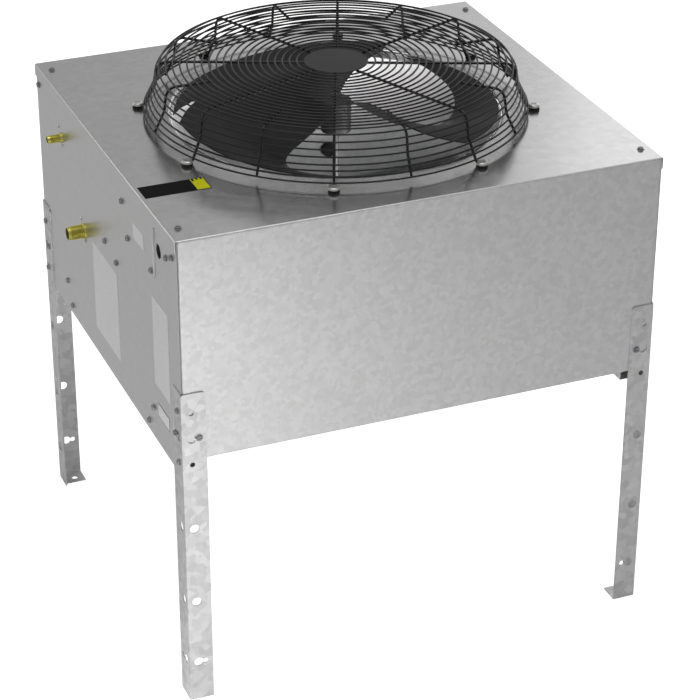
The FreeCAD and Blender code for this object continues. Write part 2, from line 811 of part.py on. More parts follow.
def blade_skin(offset):
    """Rows of points over the blade, moved along its own normal."""
    nudge = 0.001
    rows = []
    for out_step in range(OUT_STEPS + 1):
        out = out_step / OUT_STEPS
        row = []
        for across_step in range(ACROSS_STEPS + 1):
            across = across_step / ACROSS_STEPS
            along = blade_point(out + nudge, across) - blade_point(out - nudge, across)
            round_it = blade_point(out, across + nudge) - blade_point(out, across - nudge)
            row.append(blade_point(out, across) + along.cross(round_it).normalize() * offset)
        rows.append(row)
    return rows


def triangles(a, b, c, d):
    """A four-cornered patch as two flat triangles."""
    return [Part.Face(Part.makePolygon([a, b, c, a])), Part.Face(Part.makePolygon([a, c, d, a]))]


def rim_of(rows):
    """The points round the edge of a skin, in order."""
    right = [row[-1] for row in rows[1:-1]]
    left = [row[0] for row in rows[1:-1]]
    return rows[0] + right + rows[-1][::-1] + left[::-1]


def blade_solid():
    """One blade in small flat facets: two skins a sheet's thickness apart, closed round their rim."""
    half = s.blade_sheet.value / 2
    skins = [blade_skin(half), blade_skin(-half)]
    faces = []
    for rows in skins:
        for near, far in zip(rows, rows[1:]):
            for step in range(ACROSS_STEPS):
                faces += triangles(near[step], near[step + 1], far[step + 1], far[step])
    upper_rim, lower_rim = [rim_of(rows) for rows in skins]
    for step in range(-1, len(upper_rim) - 1):
        faces += triangles(upper_rim[step], upper_rim[step + 1], lower_rim[step + 1], lower_rim[step])
    return closed_solid(faces)


one_blade = blade_solid()
hub_top = s.deck_top + s.hub_top_rise
hub_bore = Part.makeCylinder(s.hub_radius.value, (hub_top + s.hub_height).value)
blades = []
for number in range(blade_number):
    blade = one_blade.cut(hub_bore)
    blade.rotate(Vector(), Vector(0, 0, 1), number * 360.0 / blade_number)
    blades.append(blade)
shaped("fan_blades", Part.makeCompound(blades))

hub_foot = hub_top - s.hub_height
hub = turned("fan_hub", [(s.shaft_radius, 0), (s.hub_radius, 0), (s.hub_radius, s.hub_height),
                         (s.shaft_radius, s.hub_height)])
place(hub, z=hub_foot)
node("fan_hub", hub)

motor_foot = s.bracket_top
motor_top = motor_foot + s.motor_height
shaft_foot = motor_top - s.shaft_well + s.motor_cap_height
node("fan_shaft", rod("fan_shaft_bar", s.shaft_radius, hub_top - shaft_foot, (0, 0, shaft_foot)))


# Motor: a closed body with a bearing at each end of its shaft well

well_foot = s.motor_height - s.shaft_well
motor = turned("motor_body", [
    (0, 0), (s.motor_radius - s.motor_shoulder, 0), (s.motor_radius, s.motor_shoulder),
    (s.motor_radius, s.motor_height - s.motor_shoulder),
    (s.motor_radius - s.motor_shoulder, s.motor_height - s.motor_cap_height),
    (s.motor_cap_radius, s.motor_height - s.motor_cap_height), (s.motor_cap_radius, s.motor_height),
    (s.bearing_radius, s.motor_height), (s.bearing_radius, well_foot), (0, well_foot)])
place(motor, z=motor_foot)
node("motor_body", motor)


def bearing(name, foot):
    bore = s.shaft_radius + s.running_clearance
    race = turned(name, [(bore, 0), (s.bearing_radius, 0), (s.bearing_radius, s.bearing_height),
                         (bore, s.bearing_height)])
    place(race, z=foot)
    return race


bearings = [bearing("upper_bearing", motor_top - s.bearing_height),
            bearing("lower_bearing", shaft_foot + s.motor_cap_height)]
node("motor_bearings", together("motor_bearings_group", bearings))

# Bracket: a channel across the cabinet that carries the motor, with a tab at each side panel
bracket_side = s.bracket_width / 2
bracket_under = s.bracket_top - s.bracket_sheet
top_bar = box("bracket_bar", (-wall_x, -bracket_side, bracket_under), (wall_x, bracket_side, s.bracket_top))
front_web = box("bracket_front_web", (-wall_x, -bracket_side, s.bracket_top - s.bracket_flange),
                (wall_x, -bracket_side + s.bracket_sheet, bracket_under))
rear_web = box("bracket_rear_web", (-wall_x, bracket_side - s.bracket_sheet, s.bracket_top - s.bracket_flange),
               (wall_x, bracket_side, bracket_under))
tab_foot_z = s.bracket_top - s.bracket_flange
tab_head_z = s.bracket_top + s.bracket_tab_rise
tab_left = box("bracket_tab_left", (-wall_x, -bracket_side, tab_foot_z),
               (-wall_x + s.bracket_sheet, bracket_side, tab_head_z))
tab_right = box("bracket_tab_right", (wall_x - s.bracket_sheet, -bracket_side, tab_foot_z),
                (wall_x, bracket_side, tab_head_z))
node("motor_bracket", joined("motor_bracket_folded", [top_bar, front_web, rear_web, tab_left, tab_right]))

motor_bolts = []
for number in range(4):
    angle = math.radians(45 + 90 * number)
    x = (s.bolt_circle_radius * 0.8) * math.cos(angle)
    y = (s.bolt_circle_radius * 0.8) * math.sin(angle)
    motor_bolts.append(hexagon(f"motor_bolt_{number}", s.screw_head_radius, s.screw_head_height,
                               (x, y, bracket_under - s.screw_head_height)))
node("motor_bolts", together("motor_bolts_group", motor_bolts))


# Coil: fins between two end plates, with its return bends in the space at each side panel

coil_foot = side_bottom + s.panel_sheet
fins_foot = coil_foot + s.coil_lift
coil_top = fins_foot + s.coil_height
plate_x = wall_x - s.coil_end_space
coil_y = wall_y - s.panel_flange - s.coil_side_space
core = box("fin_core", (-plate_x + s.end_plate_sheet, -coil_y, fins_foot),
           (plate_x - s.end_plate_sheet, coil_y, coil_top))
fin_span = (plate_x - s.end_plate_sheet) * 2
groove_count = int(s.fin_groove_count.value)
grooves = []
for number in range(groove_count):
    pitch = fin_span / groove_count
    low_x = -plate_x + s.end_plate_sheet + pitch * (number + 0.3)
    for level, reach in ((fins_foot, 0), (coil_top - s.fin_groove, 1)):
        grooves.append(box(f"fin_groove_{number}_{reach}", (low_x, -coil_y, level),
                           (low_x + pitch * 0.4, coil_y, level + s.fin_groove)))
fins = doc.addObject("Part::Cut", "coil_fins_cut")
fins.Base = core
fins.Tool = together("fin_grooves", grooves)
node("coil_fins", fins)


def end_plate(name, side):
    """A tube plate with a flange at its foot and its head that reach the side panel."""
    pieces = [
        box(name + "_web", (-plate_x, -coil_y, coil_foot), (-plate_x + s.end_plate_sheet, coil_y, coil_top)),
        box(name + "_foot", (-wall_x, -coil_y, coil_foot), (-plate_x, coil_y, coil_foot + s.end_plate_sheet)),
        box(name + "_head", (-wall_x, -coil_y, coil_top - s.end_plate_sheet), (-plate_x, coil_y, coil_top)),
    ]
    plate = joined(name + "_folded", pieces)
    return plate if side < 0 else mirrored(name + "_mirror", plate, (1, 0, 0))


node("coil_end_plate_left", end_plate("coil_end_plate_left", -1))
node("coil_end_plate_right", end_plate("coil_end_plate_right", 1))


def return_bends(name, side, skip):
    """Hairpin bends that join neighbouring tubes, drawn square with mitred corners."""
    rows = int(s.row_count.value)
    pitch = s.tube_pitch.value
    tubes = int((2 * coil_y.value - pitch) // pitch)
    first_y = -pitch * (tubes - 1) / 2
    level = fins_foot.value + (s.coil_height.value - s.row_pitch.value * (rows - 1)) / 2
    thick = s.tube_radius.value
    reach = s.bend_reach.value
    bends = []
    for row_number in range(rows):
        z = level + s.row_pitch.value * row_number
        for tube in range((skip + row_number) % 2, tubes - 1, 2):
            y = first_y + pitch * tube
            outer = [(0, y - thick), (reach - pitch / 2, y - thick), (reach, y + pitch / 4),
                     (reach, y + 3 * pitch / 4), (reach - pitch / 2, y + pitch + thick), (0, y + pitch + thick)]
            inner = [(0, y + pitch - thick), (reach - pitch / 2, y + pitch - thick),
                     (reach - 2 * thick, y + pitch / 2), (reach - pitch / 2, y + thick), (0, y + thick)]
            corners = [Vector(-plate_x.value - x, y, z - thick) for x, y in outer + inner]
            face = Part.Face(Part.makePolygon(corners + corners[:1]))
            bends.append(face.extrude(Vector(0, 0, 2 * thick)))
    group = Part.makeCompound(bends)
    if side > 0:
        group = group.mirror(Vector(), Vector(1, 0, 0))
    return shaped(name, group)


return_bends("coil_bends_left", -1, 0)
return_bends("coil_bends_right", 1, 1)


# Refrigerant couplings: hollow male threads with a collar on the service side, and their pipes inside

def coupling(name, thread_radius, reach, y, z):
    bore = thread_radius - s.coupling_wall
    collar = thread_radius + s.coupling_collar / 2
    body = turned(name, [
        (bore, 0), (thread_radius, 0), (thread_radius, s.coupling_tail + s.panel_sheet),
        (collar, s.coupling_tail + s.panel_sheet), (collar, s.coupling_tail + s.panel_sheet + s.coupling_collar),
        (thread_radius, s.coupling_tail + s.panel_sheet + s.coupling_collar),
        (thread_radius, s.coupling_tail + s.panel_sheet + reach - 1.0),
        (thread_radius - 1.0, s.coupling_tail + s.panel_sheet + reach),
        (bore, s.coupling_tail + s.panel_sheet + reach)])
    place(body, -wall_x + s.coupling_tail, y, z, Rotation(Vector(0, 1, 0), -90))
    return node(name, body)


coupling("liquid_coupling", s.liquid_thread_radius, s.liquid_reach, liquid_y, liquid_z)
coupling("gas_coupling", s.gas_thread_radius, s.gas_reach, gas_y, gas_z)


def pipe(radius, y, z):
    """An eight-sided copper pipe from a coupling's tail, round one bend, down to the coil's end plate."""
    tail = -wall_x.value + s.coupling_tail.value
    bend = s.pipe_bend_radius.value
    straight = s.pipe_straight.value
    knee_run = bend * math.tan(math.pi / 8)
    route = [Vector(tail, y.value, z.value), Vector(tail + straight + knee_run, y.value, z.value),
             Vector(tail + straight + bend, y.value, z.value - bend + knee_run),
             Vector(tail + straight + bend, y.value, coil_top.value)]
    rim = [Vector(tail, y.value + radius.value * math.cos(angle), z.value + radius.value * math.sin(angle))
           for angle in [math.pi / 4 * number for number in range(8)]]
    bar = Part.BRepOffsetAPI.MakePipeShell(Part.makePolygon(route))
    bar.setFrenetMode(True)
    bar.setTransitionMode(1)
    bar.add(Part.makePolygon(rim + rim[:1]))
    bar.build()
    bar.makeSolid()
    return bar.shape()


shaped("coil_pipes", Part.makeCompound([
    pipe(s.liquid_thread_radius - s.coupling_wall, liquid_y, liquid_z),
    pipe(s.gas_thread_radius - s.coupling_wall, gas_y, gas_z)]))

# Electrical box: a tray behind the service side whose partition shows through a slot

box_top = s.deck_top - s.box_drop
box_foot = box_top - s.box_height
box_front = -wall_y + s.corner_flange + s.corner_clearance
box_reach = -wall_x + s.box_depth
tray = less("control_box_tray", box("control_box_outer", (-wall_x, box_front, box_foot),
                                    (box_reach, partition_y, box_top)),
            [box("control_box_inner", (-wall_x, box_front + s.panel_sheet, box_foot + s.panel_sheet),
                 (box_reach - s.panel_sheet, partition_y - s.panel_sheet, box_top - s.panel_sheet))])
tab = box("control_box_tab", (-panel_x - s.box_tab_reach, partition_y - s.panel_sheet, tab_foot),
          (-wall_x, partition_y, tab_top))
node("control_box", joined("control_box_folded", [tray, tab]))
floor_z = box_foot + s.panel_sheet
node("capacitor", rod("capacitor_can", s.capacitor_radius, s.capacitor_height,
                      (-wall_x + s.box_depth / 2, box_front + s.capacitor_radius * 1.6, floor_z)))
block_y = partition_y - s.panel_sheet * 2 - s.terminal_width
node("terminal_block", box("terminal_block_body", (-wall_x + s.box_depth * 0.2, block_y, floor_z),
                           (-wall_x + s.box_depth * 0.2 + s.terminal_length, block_y + s.terminal_width,
                            floor_z + s.terminal_height)))


# Check every object, then write each sub-part to its own file

doc.recompute()
for thing in doc.Objects:
    if {"Invalid", "Error"} & set(thing.State):
        raise ValueError(f"{thing.Name} failed: {thing.State}")
for piece in nodes:
    if piece.Shape.isNull() or not piece.Shape.isValid() or not piece.Shape.Solids:
        raise ValueError(f"{piece.Label} has no valid solid")
os.makedirs("parts", exist_ok=True)
for piece in nodes:
    piece.Shape.exportStep(f"parts/{piece.Label}.step")
    print(piece.Label, len(piece.Shape.Solids), round(piece.Shape.Volume))
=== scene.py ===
import json
import math

import bmesh
import bpy
from mathutils import Matrix, Vector


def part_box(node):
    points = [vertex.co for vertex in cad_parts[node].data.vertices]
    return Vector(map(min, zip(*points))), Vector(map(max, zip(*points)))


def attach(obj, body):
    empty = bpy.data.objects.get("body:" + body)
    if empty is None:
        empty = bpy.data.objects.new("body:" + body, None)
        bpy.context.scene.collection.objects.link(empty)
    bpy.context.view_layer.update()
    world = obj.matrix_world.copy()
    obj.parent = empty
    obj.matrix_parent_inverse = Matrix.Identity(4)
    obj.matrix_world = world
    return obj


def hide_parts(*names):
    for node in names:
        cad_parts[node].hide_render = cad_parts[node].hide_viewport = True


# Remote condenser: the looks of a galvanised cabinet on four pierced legs, with a fan under a wire guard.
# Lengths are metres in the frame of the solids: floor at z = 0, front towards -Y, service side towards -X.

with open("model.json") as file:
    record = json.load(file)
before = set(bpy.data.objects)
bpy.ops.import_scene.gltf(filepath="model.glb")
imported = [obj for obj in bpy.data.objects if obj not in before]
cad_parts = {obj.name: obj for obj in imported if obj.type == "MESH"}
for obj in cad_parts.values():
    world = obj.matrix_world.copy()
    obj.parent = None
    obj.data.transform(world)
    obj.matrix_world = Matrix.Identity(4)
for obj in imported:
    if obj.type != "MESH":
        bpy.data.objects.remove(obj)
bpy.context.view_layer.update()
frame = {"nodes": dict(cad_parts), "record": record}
MM = 0.001

# Cabinet
HALF_WIDTH = 0.3875
HALF_DEPTH = 0.358
DECK_TOP = 0.790
DECK_SHEET = 0.0016
DECK_LIP = 0.019
LIP_END = 0.356
END_FACE_X = 0.384
SIDE_FACE_X = 0.3855
FRONT_BOTTOM = 0.430
WALL_SHEET = 0.0012
WALL_X = SIDE_FACE_X - WALL_SHEET
WALL_Y = HALF_DEPTH - WALL_SHEET
BEND = 0.0026
FOOT_FLANGE = 0.012
SIDE_FLANGE = 0.020
ORIFICE = 0.259
THROAT_ROUND = 0.005
THROAT_FOOT = 0.775
LEG_Y = 0.360
LEG_FOLD = 0.003
CABINET_MIDDLE = Vector((0, 0, 0.6))
# Guard
RING_WIRE = 0.0029
STRUT_WIRE = 0.0042
GUARD_HEIGHT = 0.0804
SHOULDER_RADIUS = 0.020
SHOULDER_START = 0.262
FIRST_RING = 0.0612
RING_PITCH = 0.01132
FLAT_RINGS = 19
SIDE_RINGS = 8
LOW_RINGS = 3
GUARD_BOLT_RADIUS = 0.3105
GUARD_FEET = 8
FOOT_ANGLE = math.pi / 8
LONG_STRUT_START = 0.046
SHORT_STRUT_START = 0.202
WIRE_SINK = 0.0003
EYE_RADIUS = 0.0059
PAD_THICKNESS = 0.003
DISC_RADIUS = 0.05
DISC_SHEET = 0.002
# Fan and motor; blade edges as cubics in degrees, and as heights at root, tip and swell
BLADES = 3
FAN_RADIUS = 0.255
ROOT_RADIUS = 0.0155
HUB_RADIUS = 0.024
HUB_BORE = 0.0041
HUB_TOP = DECK_TOP + 0.016
HUB_HEIGHT = 0.052
BLADE_SHEET = 0.0020
BLADE_CAMBER = 0.0025
EDGE_ANGLE = (57.4, -43.8, 2.3, 42.3)
SPAN_ANGLE = (54.2, -29.0, 31.9, 46.1)
UPPER_EDGE = (0.0096, 0.0135, 0.0303)
LOWER_EDGE = (0.0159, -0.0057, -0.0359)
MOTOR_FOOT = 0.545
MOTOR_BOLT_CIRCLE = 0.0384
BOLT_LEVEL = MOTOR_FOOT - 0.002
# Couplings and coil, places as Y and Z
LIQUID_LINE = (0.2256, 0.7108)
GAS_LINE = (0.116, 0.594)
SHANK = 0.014
THREAD_PITCH = 0.0016
PIPE_END = 0.4942
HAIRPIN_PITCH = 0.0254
HAIRPIN_RADIUS = 0.0125
TUBE_ROW_PITCH = 0.022
TUBE_ROWS = 3
FINS_FOOT = 0.4262
FINS_HEIGHT = 0.068
PLATE_INSET = 0.032
FIN_COUNT = 230
FIN_SHEET = 0.00044
# Surface pieces
SKIN = 0.0001
GROMMET_PLACE = (0.128, WALL_Y - 0.0004, 0.553)
# Studio
FLOOR_GLOW = 0.75
FLOOR_REACH = 30
CAMERA_PLACE = (-1.33045, -3.29989, 2.30287)
CAMERA_RIGHT = (0.92562, -0.37844, 0.00312)
CAMERA_UP = (0.17897, 0.44496, 0.87749)
FOCAL_LENGTH = 126.146
SENSOR_WIDTH = 36.0


# Node trees

class Flow:
    """A socket in a node tree; arithmetic on it adds the Math nodes that work it out."""

    def __init__(self, net, socket):
        self.net = net
        self.socket = socket

    def __add__(self, other):
        return self.net.math("ADD", self, other)

    def __radd__(self, other):
        return self.net.math("ADD", other, self)

    def __sub__(self, other):
        return self.net.math("SUBTRACT", self, other)

    def __rsub__(self, other):
        return self.net.math("SUBTRACT", other, self)

    def __mul__(self, other):
        return self.net.math("MULTIPLY", self, other)

    def __rmul__(self, other):
        return self.net.math("MULTIPLY", other, self)

    def __truediv__(self, other):
        return self.net.math("DIVIDE", self, other)


class Net:
    """The nodes of one finish or one shape."""

    def __init__(self, tree):
        self.tree = tree

    def node(self, kind, settings=None, inputs=None, output=0):
        """Add a node: its settings first, then the values or links of its sockets."""
        made = self.tree.nodes.new(kind)
        for name, value in (settings or {}).items():
            setattr(made, name, value)
        for name, value in (inputs or {}).items():
            if isinstance(value, Flow):
                self.tree.links.new(value.socket, made.inputs[name])
            else:
                made.inputs[name].default_value = value
        return Flow(self, made.outputs[output]) if len(made.outputs) else None

    def math(self, operation, first, second):
        return self.node("ShaderNodeMath", {"operation": operation}, {0: first, 1: second})

    def mixed(self, share, first, second):
        """A colour between two others."""
        return self.node("ShaderNodeMix", {"data_type": "RGBA"}, {0: share, 6: first, 7: second}, 2)

    def ranged(self, value, low, high, to_low=0.0, to_high=1.0):
        return self.node("ShaderNodeMapRange", {"clamp": True},
                         {0: value, 1: low, 2: high, 3: to_low, 4: to_high})

    def place(self, scale=(1.0, 1.0, 1.0)):
        """The object's own coordinates, stretched."""
        here = self.node("ShaderNodeTexCoord", output="Object")
        return self.node("ShaderNodeMapping", None, {"Vector": here, "Scale": scale})

    def noise(self, at, scale, detail=2.0, roughness=0.5, output=0):
        return self.node("ShaderNodeTexNoise", None,
                         {"Vector": at, "Scale": scale, "Detail": detail, "Roughness": roughness}, output)

    def warped(self, at, scale, amount):
        """Coordinates pushed about by a noise."""
        push = self.noise(at, scale, 3.0, 0.6, "Color")
        return self.node("ShaderNodeVectorMath", {"operation": "MULTIPLY_ADD"},
                         {0: push, 1: (amount, amount, amount), 2: at})

    def flakes(self, at, size):
        """One random value for each flake of zinc, and a second one."""
        ragged = self.warped(at, 0.7 / size, size * 1.1)
        cell = self.node("ShaderNodeTexVoronoi", {"feature": "SMOOTH_F1"},
                         {"Vector": ragged, "Scale": 1.0 / size, "Smoothness": 0.25}, "Color")
        split = self.tree.nodes.new("ShaderNodeSeparateColor")
        self.tree.links.new(cell.socket, split.inputs[0])
        return Flow(self, split.outputs[0]), Flow(self, split.outputs[1])

    def bump(self, height, strength, distance):
        return self.node("ShaderNodeBump", None,
                         {"Strength": strength, "Distance": distance, "Height": height})


def finish(name, paint):
    """A material; paint gives the values and links of its shader's sockets."""
    material = bpy.data.materials.new(name)
    material.use_nodes = True
    net = Net(material.node_tree)
    net.tree.nodes.clear()
    shader = net.node("ShaderNodeBsdfPrincipled", None, paint(net))
    net.node("ShaderNodeOutputMaterial", None, {"Surface": shader})
    return material


def grey(value):
    return (value, value, value, 1.0)


def galvanised(tone, spread, rough, metal, flake, flake_share, grain_share, cloud_share):
    """Zinc-coated sheet: low-contrast flakes, a fine upright grain and faint clouds of dulling."""
    def paint(net):
        at = net.place()
        first, second = net.flakes(at, flake)
        grain = net.noise(net.place((620.0, 620.0, 46.0)), 1.0, 3.0, 0.6)
        cloud = net.noise(at, 7.0, 4.0, 0.6)
        speck = net.noise(at, 900.0, 2.0, 0.6)
        share = (0.5 + (first - 0.5) * flake_share + (grain - 0.5) * grain_share
                 + (cloud - 0.5) * cloud_share + (speck - 0.5) * 0.12)
        colour = net.mixed(net.ranged(share, 0.0, 1.0), grey(tone - spread), grey(tone + spread))
        dull = rough + (second - 0.5) * (flake_share * 0.06) + (cloud - 0.5) * 0.10 + (grain - 0.5) * 0.04
        relief = first * 0.1 + grain * 0.5 + speck * 0.4
        return {"Base Color": colour, "Metallic": metal, "Roughness": net.ranged(dull, 0.08, 0.9, 0.08, 0.9),
                "Normal": net.bump(relief, 0.06, 0.0003)}
    return paint


def coated(tone, rough, speckle=0.25, scale=1400.0, spread=0.35, relief=0.15):
    """Paint, powder coat or rubber: an even colour with a fine grain and soft dulling."""
    def paint(net):
        at = net.place()
        grain = net.noise(at, scale, 2.0, 0.7)
        cloud = net.noise(at, 18.0, 3.0, 0.6)
        share = net.ranged(0.5 + (grain - 0.5) * speckle + (cloud - 0.5) * 0.4, 0.0, 1.0)
        colour = net.mixed(share, grey(tone * (1 - spread)), grey(tone * (1 + spread)))
        dull = net.ranged(rough + (cloud - 0.5) * 0.2, 0.1, 1.0, 0.1, 1.0)
        return {"Base Color": colour, "Roughness": dull, "Specular IOR Level": 0.35,
                "Normal": net.bump(grain, relief, 0.0003)}
    return paint


def shades(colour, spread):
    """A darker and a lighter shade of a colour."""
    dark = tuple(part * (1 - spread) for part in colour) + (1.0,)
    light = tuple(min(1.0, part * (1 + spread)) for part in colour) + (1.0,)
    return dark, light


def bright_metal(colour, rough, grain_scale, metal=1.0):
    """Turned, drawn or plated metal with fine marks along its length."""
    def paint(net):
        marks = net.noise(net.place(grain_scale), 1.0, 3.0, 0.6)
        cloud = net.noise(net.place(), 60.0, 3.0, 0.6)
        share = net.ranged(0.5 + (marks - 0.5) * 0.5 + (cloud - 0.5) * 0.7, 0.0, 1.0)
        dull = net.ranged(rough + (cloud - 0.5) * 0.2 + (marks - 0.5) * 0.1, 0.08, 0.9, 0.08, 0.9)
        return {"Base Color": net.mixed(share, *shades(colour, 0.18)), "Metallic": metal, "Roughness": dull,
                "Normal": net.bump(marks, 0.12, 0.0002)}
    return paint


def printed(colour, rough):
    """A plain sticker: an even colour, faintly mottled."""
    def paint(net):
        mottle = net.noise(net.place(), 260.0, 3.0, 0.7)
        dull = rough + (mottle - 0.5) * 0.1
        return {"Base Color": net.mixed(mottle, *shades(colour, 0.12)), "Roughness": dull,
                "Specular IOR Level": 0.15, "Normal": net.bump(mottle, 0.05, 0.0001)}
    return paint


# For sheet: tone, spread, roughness, metal, flake size, then the shares of flake, grain and cloud
FINISHES = {
    "deck_steel": galvanised(0.58, 0.05, 0.21, 0.97, 0.012, 0.40, 0.15, 0.6),
    "spangled_steel": galvanised(0.60, 0.065, 0.35, 0.88, 0.0075, 0.60, 0.15, 0.25),
    "panel_steel": galvanised(0.53, 0.05, 0.30, 0.92, 0.010, 0.20, 0.65, 0.4),
    "leg_steel": galvanised(0.56, 0.08, 0.36, 0.90, 0.011, 0.95, 0.2, 0.3),
    "bracket_steel": galvanised(0.78, 0.06, 0.5, 0.5, 0.012, 0.4, 0.2, 0.3),
    "zinc_screw": bright_metal((0.30, 0.30, 0.31), 0.42, (300.0, 300.0, 300.0)),
    "guard_black": coated(0.012, 0.38),
    "disc_black": coated(0.022, 0.62, 0.8, 900.0, 0.5, relief=0.4),
    "washer_rubber": coated(0.010, 0.7),
    "blade_black": coated(0.013, 0.60, 0.7, 700.0, 0.5, relief=0.3),
    "hub_steel": coated(0.02, 0.4),
    "shaft_steel": bright_metal((0.09, 0.09, 0.09), 0.55, (90.0, 90.0, 1600.0), metal=0.6),
    "motor_grey": coated(0.030, 0.45),
    "bearing_bronze": bright_metal((0.52, 0.36, 0.2), 0.4, (400.0, 400.0, 400.0)),
    "fin_aluminium": bright_metal((0.66, 0.67, 0.68), 0.42, (30.0, 700.0, 30.0)),
    "copper": bright_metal((0.72, 0.36, 0.22), 0.38, (200.0, 200.0, 40.0)),
    "coupling_brass": bright_metal((0.66, 0.61, 0.16), 0.3, (60.0, 900.0, 900.0)),
    "can_aluminium": bright_metal((0.64, 0.64, 0.65), 0.4, (60.0, 60.0, 900.0)),
    "block_plastic": coated(0.02, 0.5),
    "label_paper": printed((0.74, 0.74, 0.75), 0.6),
    "label_edge": printed((0.12, 0.12, 0.12), 0.6),
    "strip_black": printed((0.002, 0.002, 0.002), 0.8),
    "strip_yellow": printed((0.50, 0.495, 0.004), 0.8),
    "cap_zinc": bright_metal((0.62, 0.62, 0.60), 0.32, (500.0, 500.0, 500.0)),
}
finishes = {name: finish(name, paint) for name, paint in FINISHES.items()}


# Meshes

def placed(name, data):
    """A new object in the scene."""
    made = bpy.data.objects.new(name, data)
    bpy.context.scene.collection.objects.link(made)
    return made


def piece_of(name, mesh, finish_name):
    """An object at the origin with its own finish."""
    piece = placed(name, mesh)
    mesh.materials.clear()
    mesh.materials.append(finishes[finish_name])
    return piece


def built(name, vertices, faces, finish_name, smooth_below=None):
    """A piece from vertices and faces, merged, with its faces turned outward."""
    mesh = bpy.data.meshes.new(name)
    mesh.from_pydata(vertices, [], faces)
    work = bmesh.new()
    work.from_mesh(mesh)
    bmesh.ops.remove_doubles(work, verts=work.verts, dist=1e-6)
    bmesh.ops.recalc_face_normals(work, faces=work.faces)
    work.to_mesh(mesh)
    work.free()
    if smooth_below:
        mesh.shade_smooth()
        mesh.set_sharp_from_angle(angle=math.radians(smooth_below))
    return piece_of(name, mesh, finish_name)


def settle(piece, slot_name, *replaced, body="cabinet"):
    """Tie a finished piece to its body and hide the solids it stands for; slot_name is not used."""
    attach(piece, body)
    if replaced:
        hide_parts(*replaced)


def made_plain(piece):
    """Turn an object and its modifiers into a plain mesh."""
    bpy.context.view_layer.update()
    graph = bpy.context.evaluated_depsgraph_get()
    mesh = bpy.data.meshes.new_from_object(piece.evaluated_get(graph))
    mesh.name = piece.name
    piece.modifiers.clear()
    piece.data = mesh
    return piece


def joined(name, pieces, finish_name):
    """Several pieces as one mesh."""
    work = bmesh.new()
    for piece in pieces:
        work.from_mesh(piece.data)
    mesh = bpy.data.meshes.new(name)
    work.to_mesh(mesh)
    work.free()
    for piece in pieces:
        bpy.data.objects.remove(piece)
    return piece_of(name, mesh, finish_name)


def bands(rows, count, closed=True):
    """Faces between rows of points, count in each; a closed row joins its end to its start."""
    faces = []
    for low in range(0, (rows - 1) * count, count):
        for spot in range(count if closed else count - 1):
            after = (spot + 1) % count
            faces.append([low + spot, low + after, low + count + after, low + count + spot])
    return faces


def lathe(name, profile, finish_name, steps=48, place=(0, 0, 0), axis="z", smooth_below=35):
    """A closed piece turned about an axis, from radii and heights; its ends may lie on the axis."""
    turn = {"z": Matrix(), "-x": Matrix.Rotation(-math.pi / 2, 4, "Y"),
            "y": Matrix.Rotation(-math.pi / 2, 4, "X")}[axis]
    shift = Matrix.Translation(place) @ turn
    vertices = []
    for step in range(steps):
        angle = 2 * math.pi * step / steps
        vertices += [shift @ Vector((radius * math.cos(angle), radius * math.sin(angle), height))
                     for radius, height in profile]
    count = len(profile)
    meets_axis = profile[0][0] < 1e-9 and profile[-1][0] < 1e-9
    faces = []
    for step in range(steps):
        following = (step + 1) % steps
        for spot in range(count - 1 if meets_axis else count):
            after = (spot + 1) % count
            face = [step * count + spot, step * count + after, following * count + after,
                    following * count + spot]
            faces.append(face)
    return built(name, vertices, faces, finish_name, smooth_below)


def rounded(points, radius, arc_steps=6):
    """A path with its corners rounded."""
    path = [Vector(points[0])]
    for before, corner, after in zip(points, points[1:], points[2:]):
        before, corner, after = Vector(before), Vector(corner), Vector(after)
        into = (corner - before).normalized()
        out_of = (after - corner).normalized()
        bend = into.angle(out_of)
        cut = radius * math.tan(bend / 2)
        start = corner - into * cut
        sideways = (out_of - into * out_of.dot(into)).normalized()
        centre = start + sideways * radius
        for step in range(arc_steps + 1):
            angle = bend * step / arc_steps
            path.append(centre - sideways * radius * math.cos(angle) + into * radius * math.sin(angle))
    path.append(Vector(points[-1]))
    return path


def swept(path, radius, side, sides=10):
    """Vertices and faces of a round bar along a path that lies in the plane across side."""
    vertices = []
    for index, point in enumerate(path):
        ahead = path[min(index + 1, len(path) - 1)] - path[max(index - 1, 0)]
        ahead.normalize()
        across = ahead.cross(side).normalized()
        vertices += [point + (side * math.cos(2 * math.pi * turn / sides)
                              + across * math.sin(2 * math.pi * turn / sides)) * radius
                     for turn in range(sides)]
    last = (len(path) - 1) * sides
    ends = [list(range(sides)), [last + turn for turn in range(sides)]]
    return vertices, bands(len(path), sides) + ends


def merged(parts):
    """One list of vertices and one of faces from several."""
    vertices, faces = [], []
    for some_vertices, some_faces in parts:
        base = len(vertices)
        vertices += some_vertices
        faces += [[corner + base for corner in face] for face in some_faces]
    return vertices, faces


def block(low, high):
    """Vertices and faces of a plain block."""
    vertices = [(x, y, z) for x in (low[0], high[0]) for y in (low[1], high[1]) for z in (low[2], high[2])]
    return vertices, [[0, 1, 3, 2], [4, 6, 7, 5], [0, 4, 5, 1], [2, 3, 7, 6], [0, 2, 6, 4], [1, 5, 7, 3]]


def bevelled(piece, width, segments=2):
    """Round a piece's sharp edges."""
    bevel = piece.modifiers.new("edges", "BEVEL")
    bevel.width = width
    bevel.segments = segments
    bevel.limit_method = "ANGLE"
    bevel.angle_limit = math.radians(40)
    bevel.use_clamp_overlap = True
    return made_plain(piece)


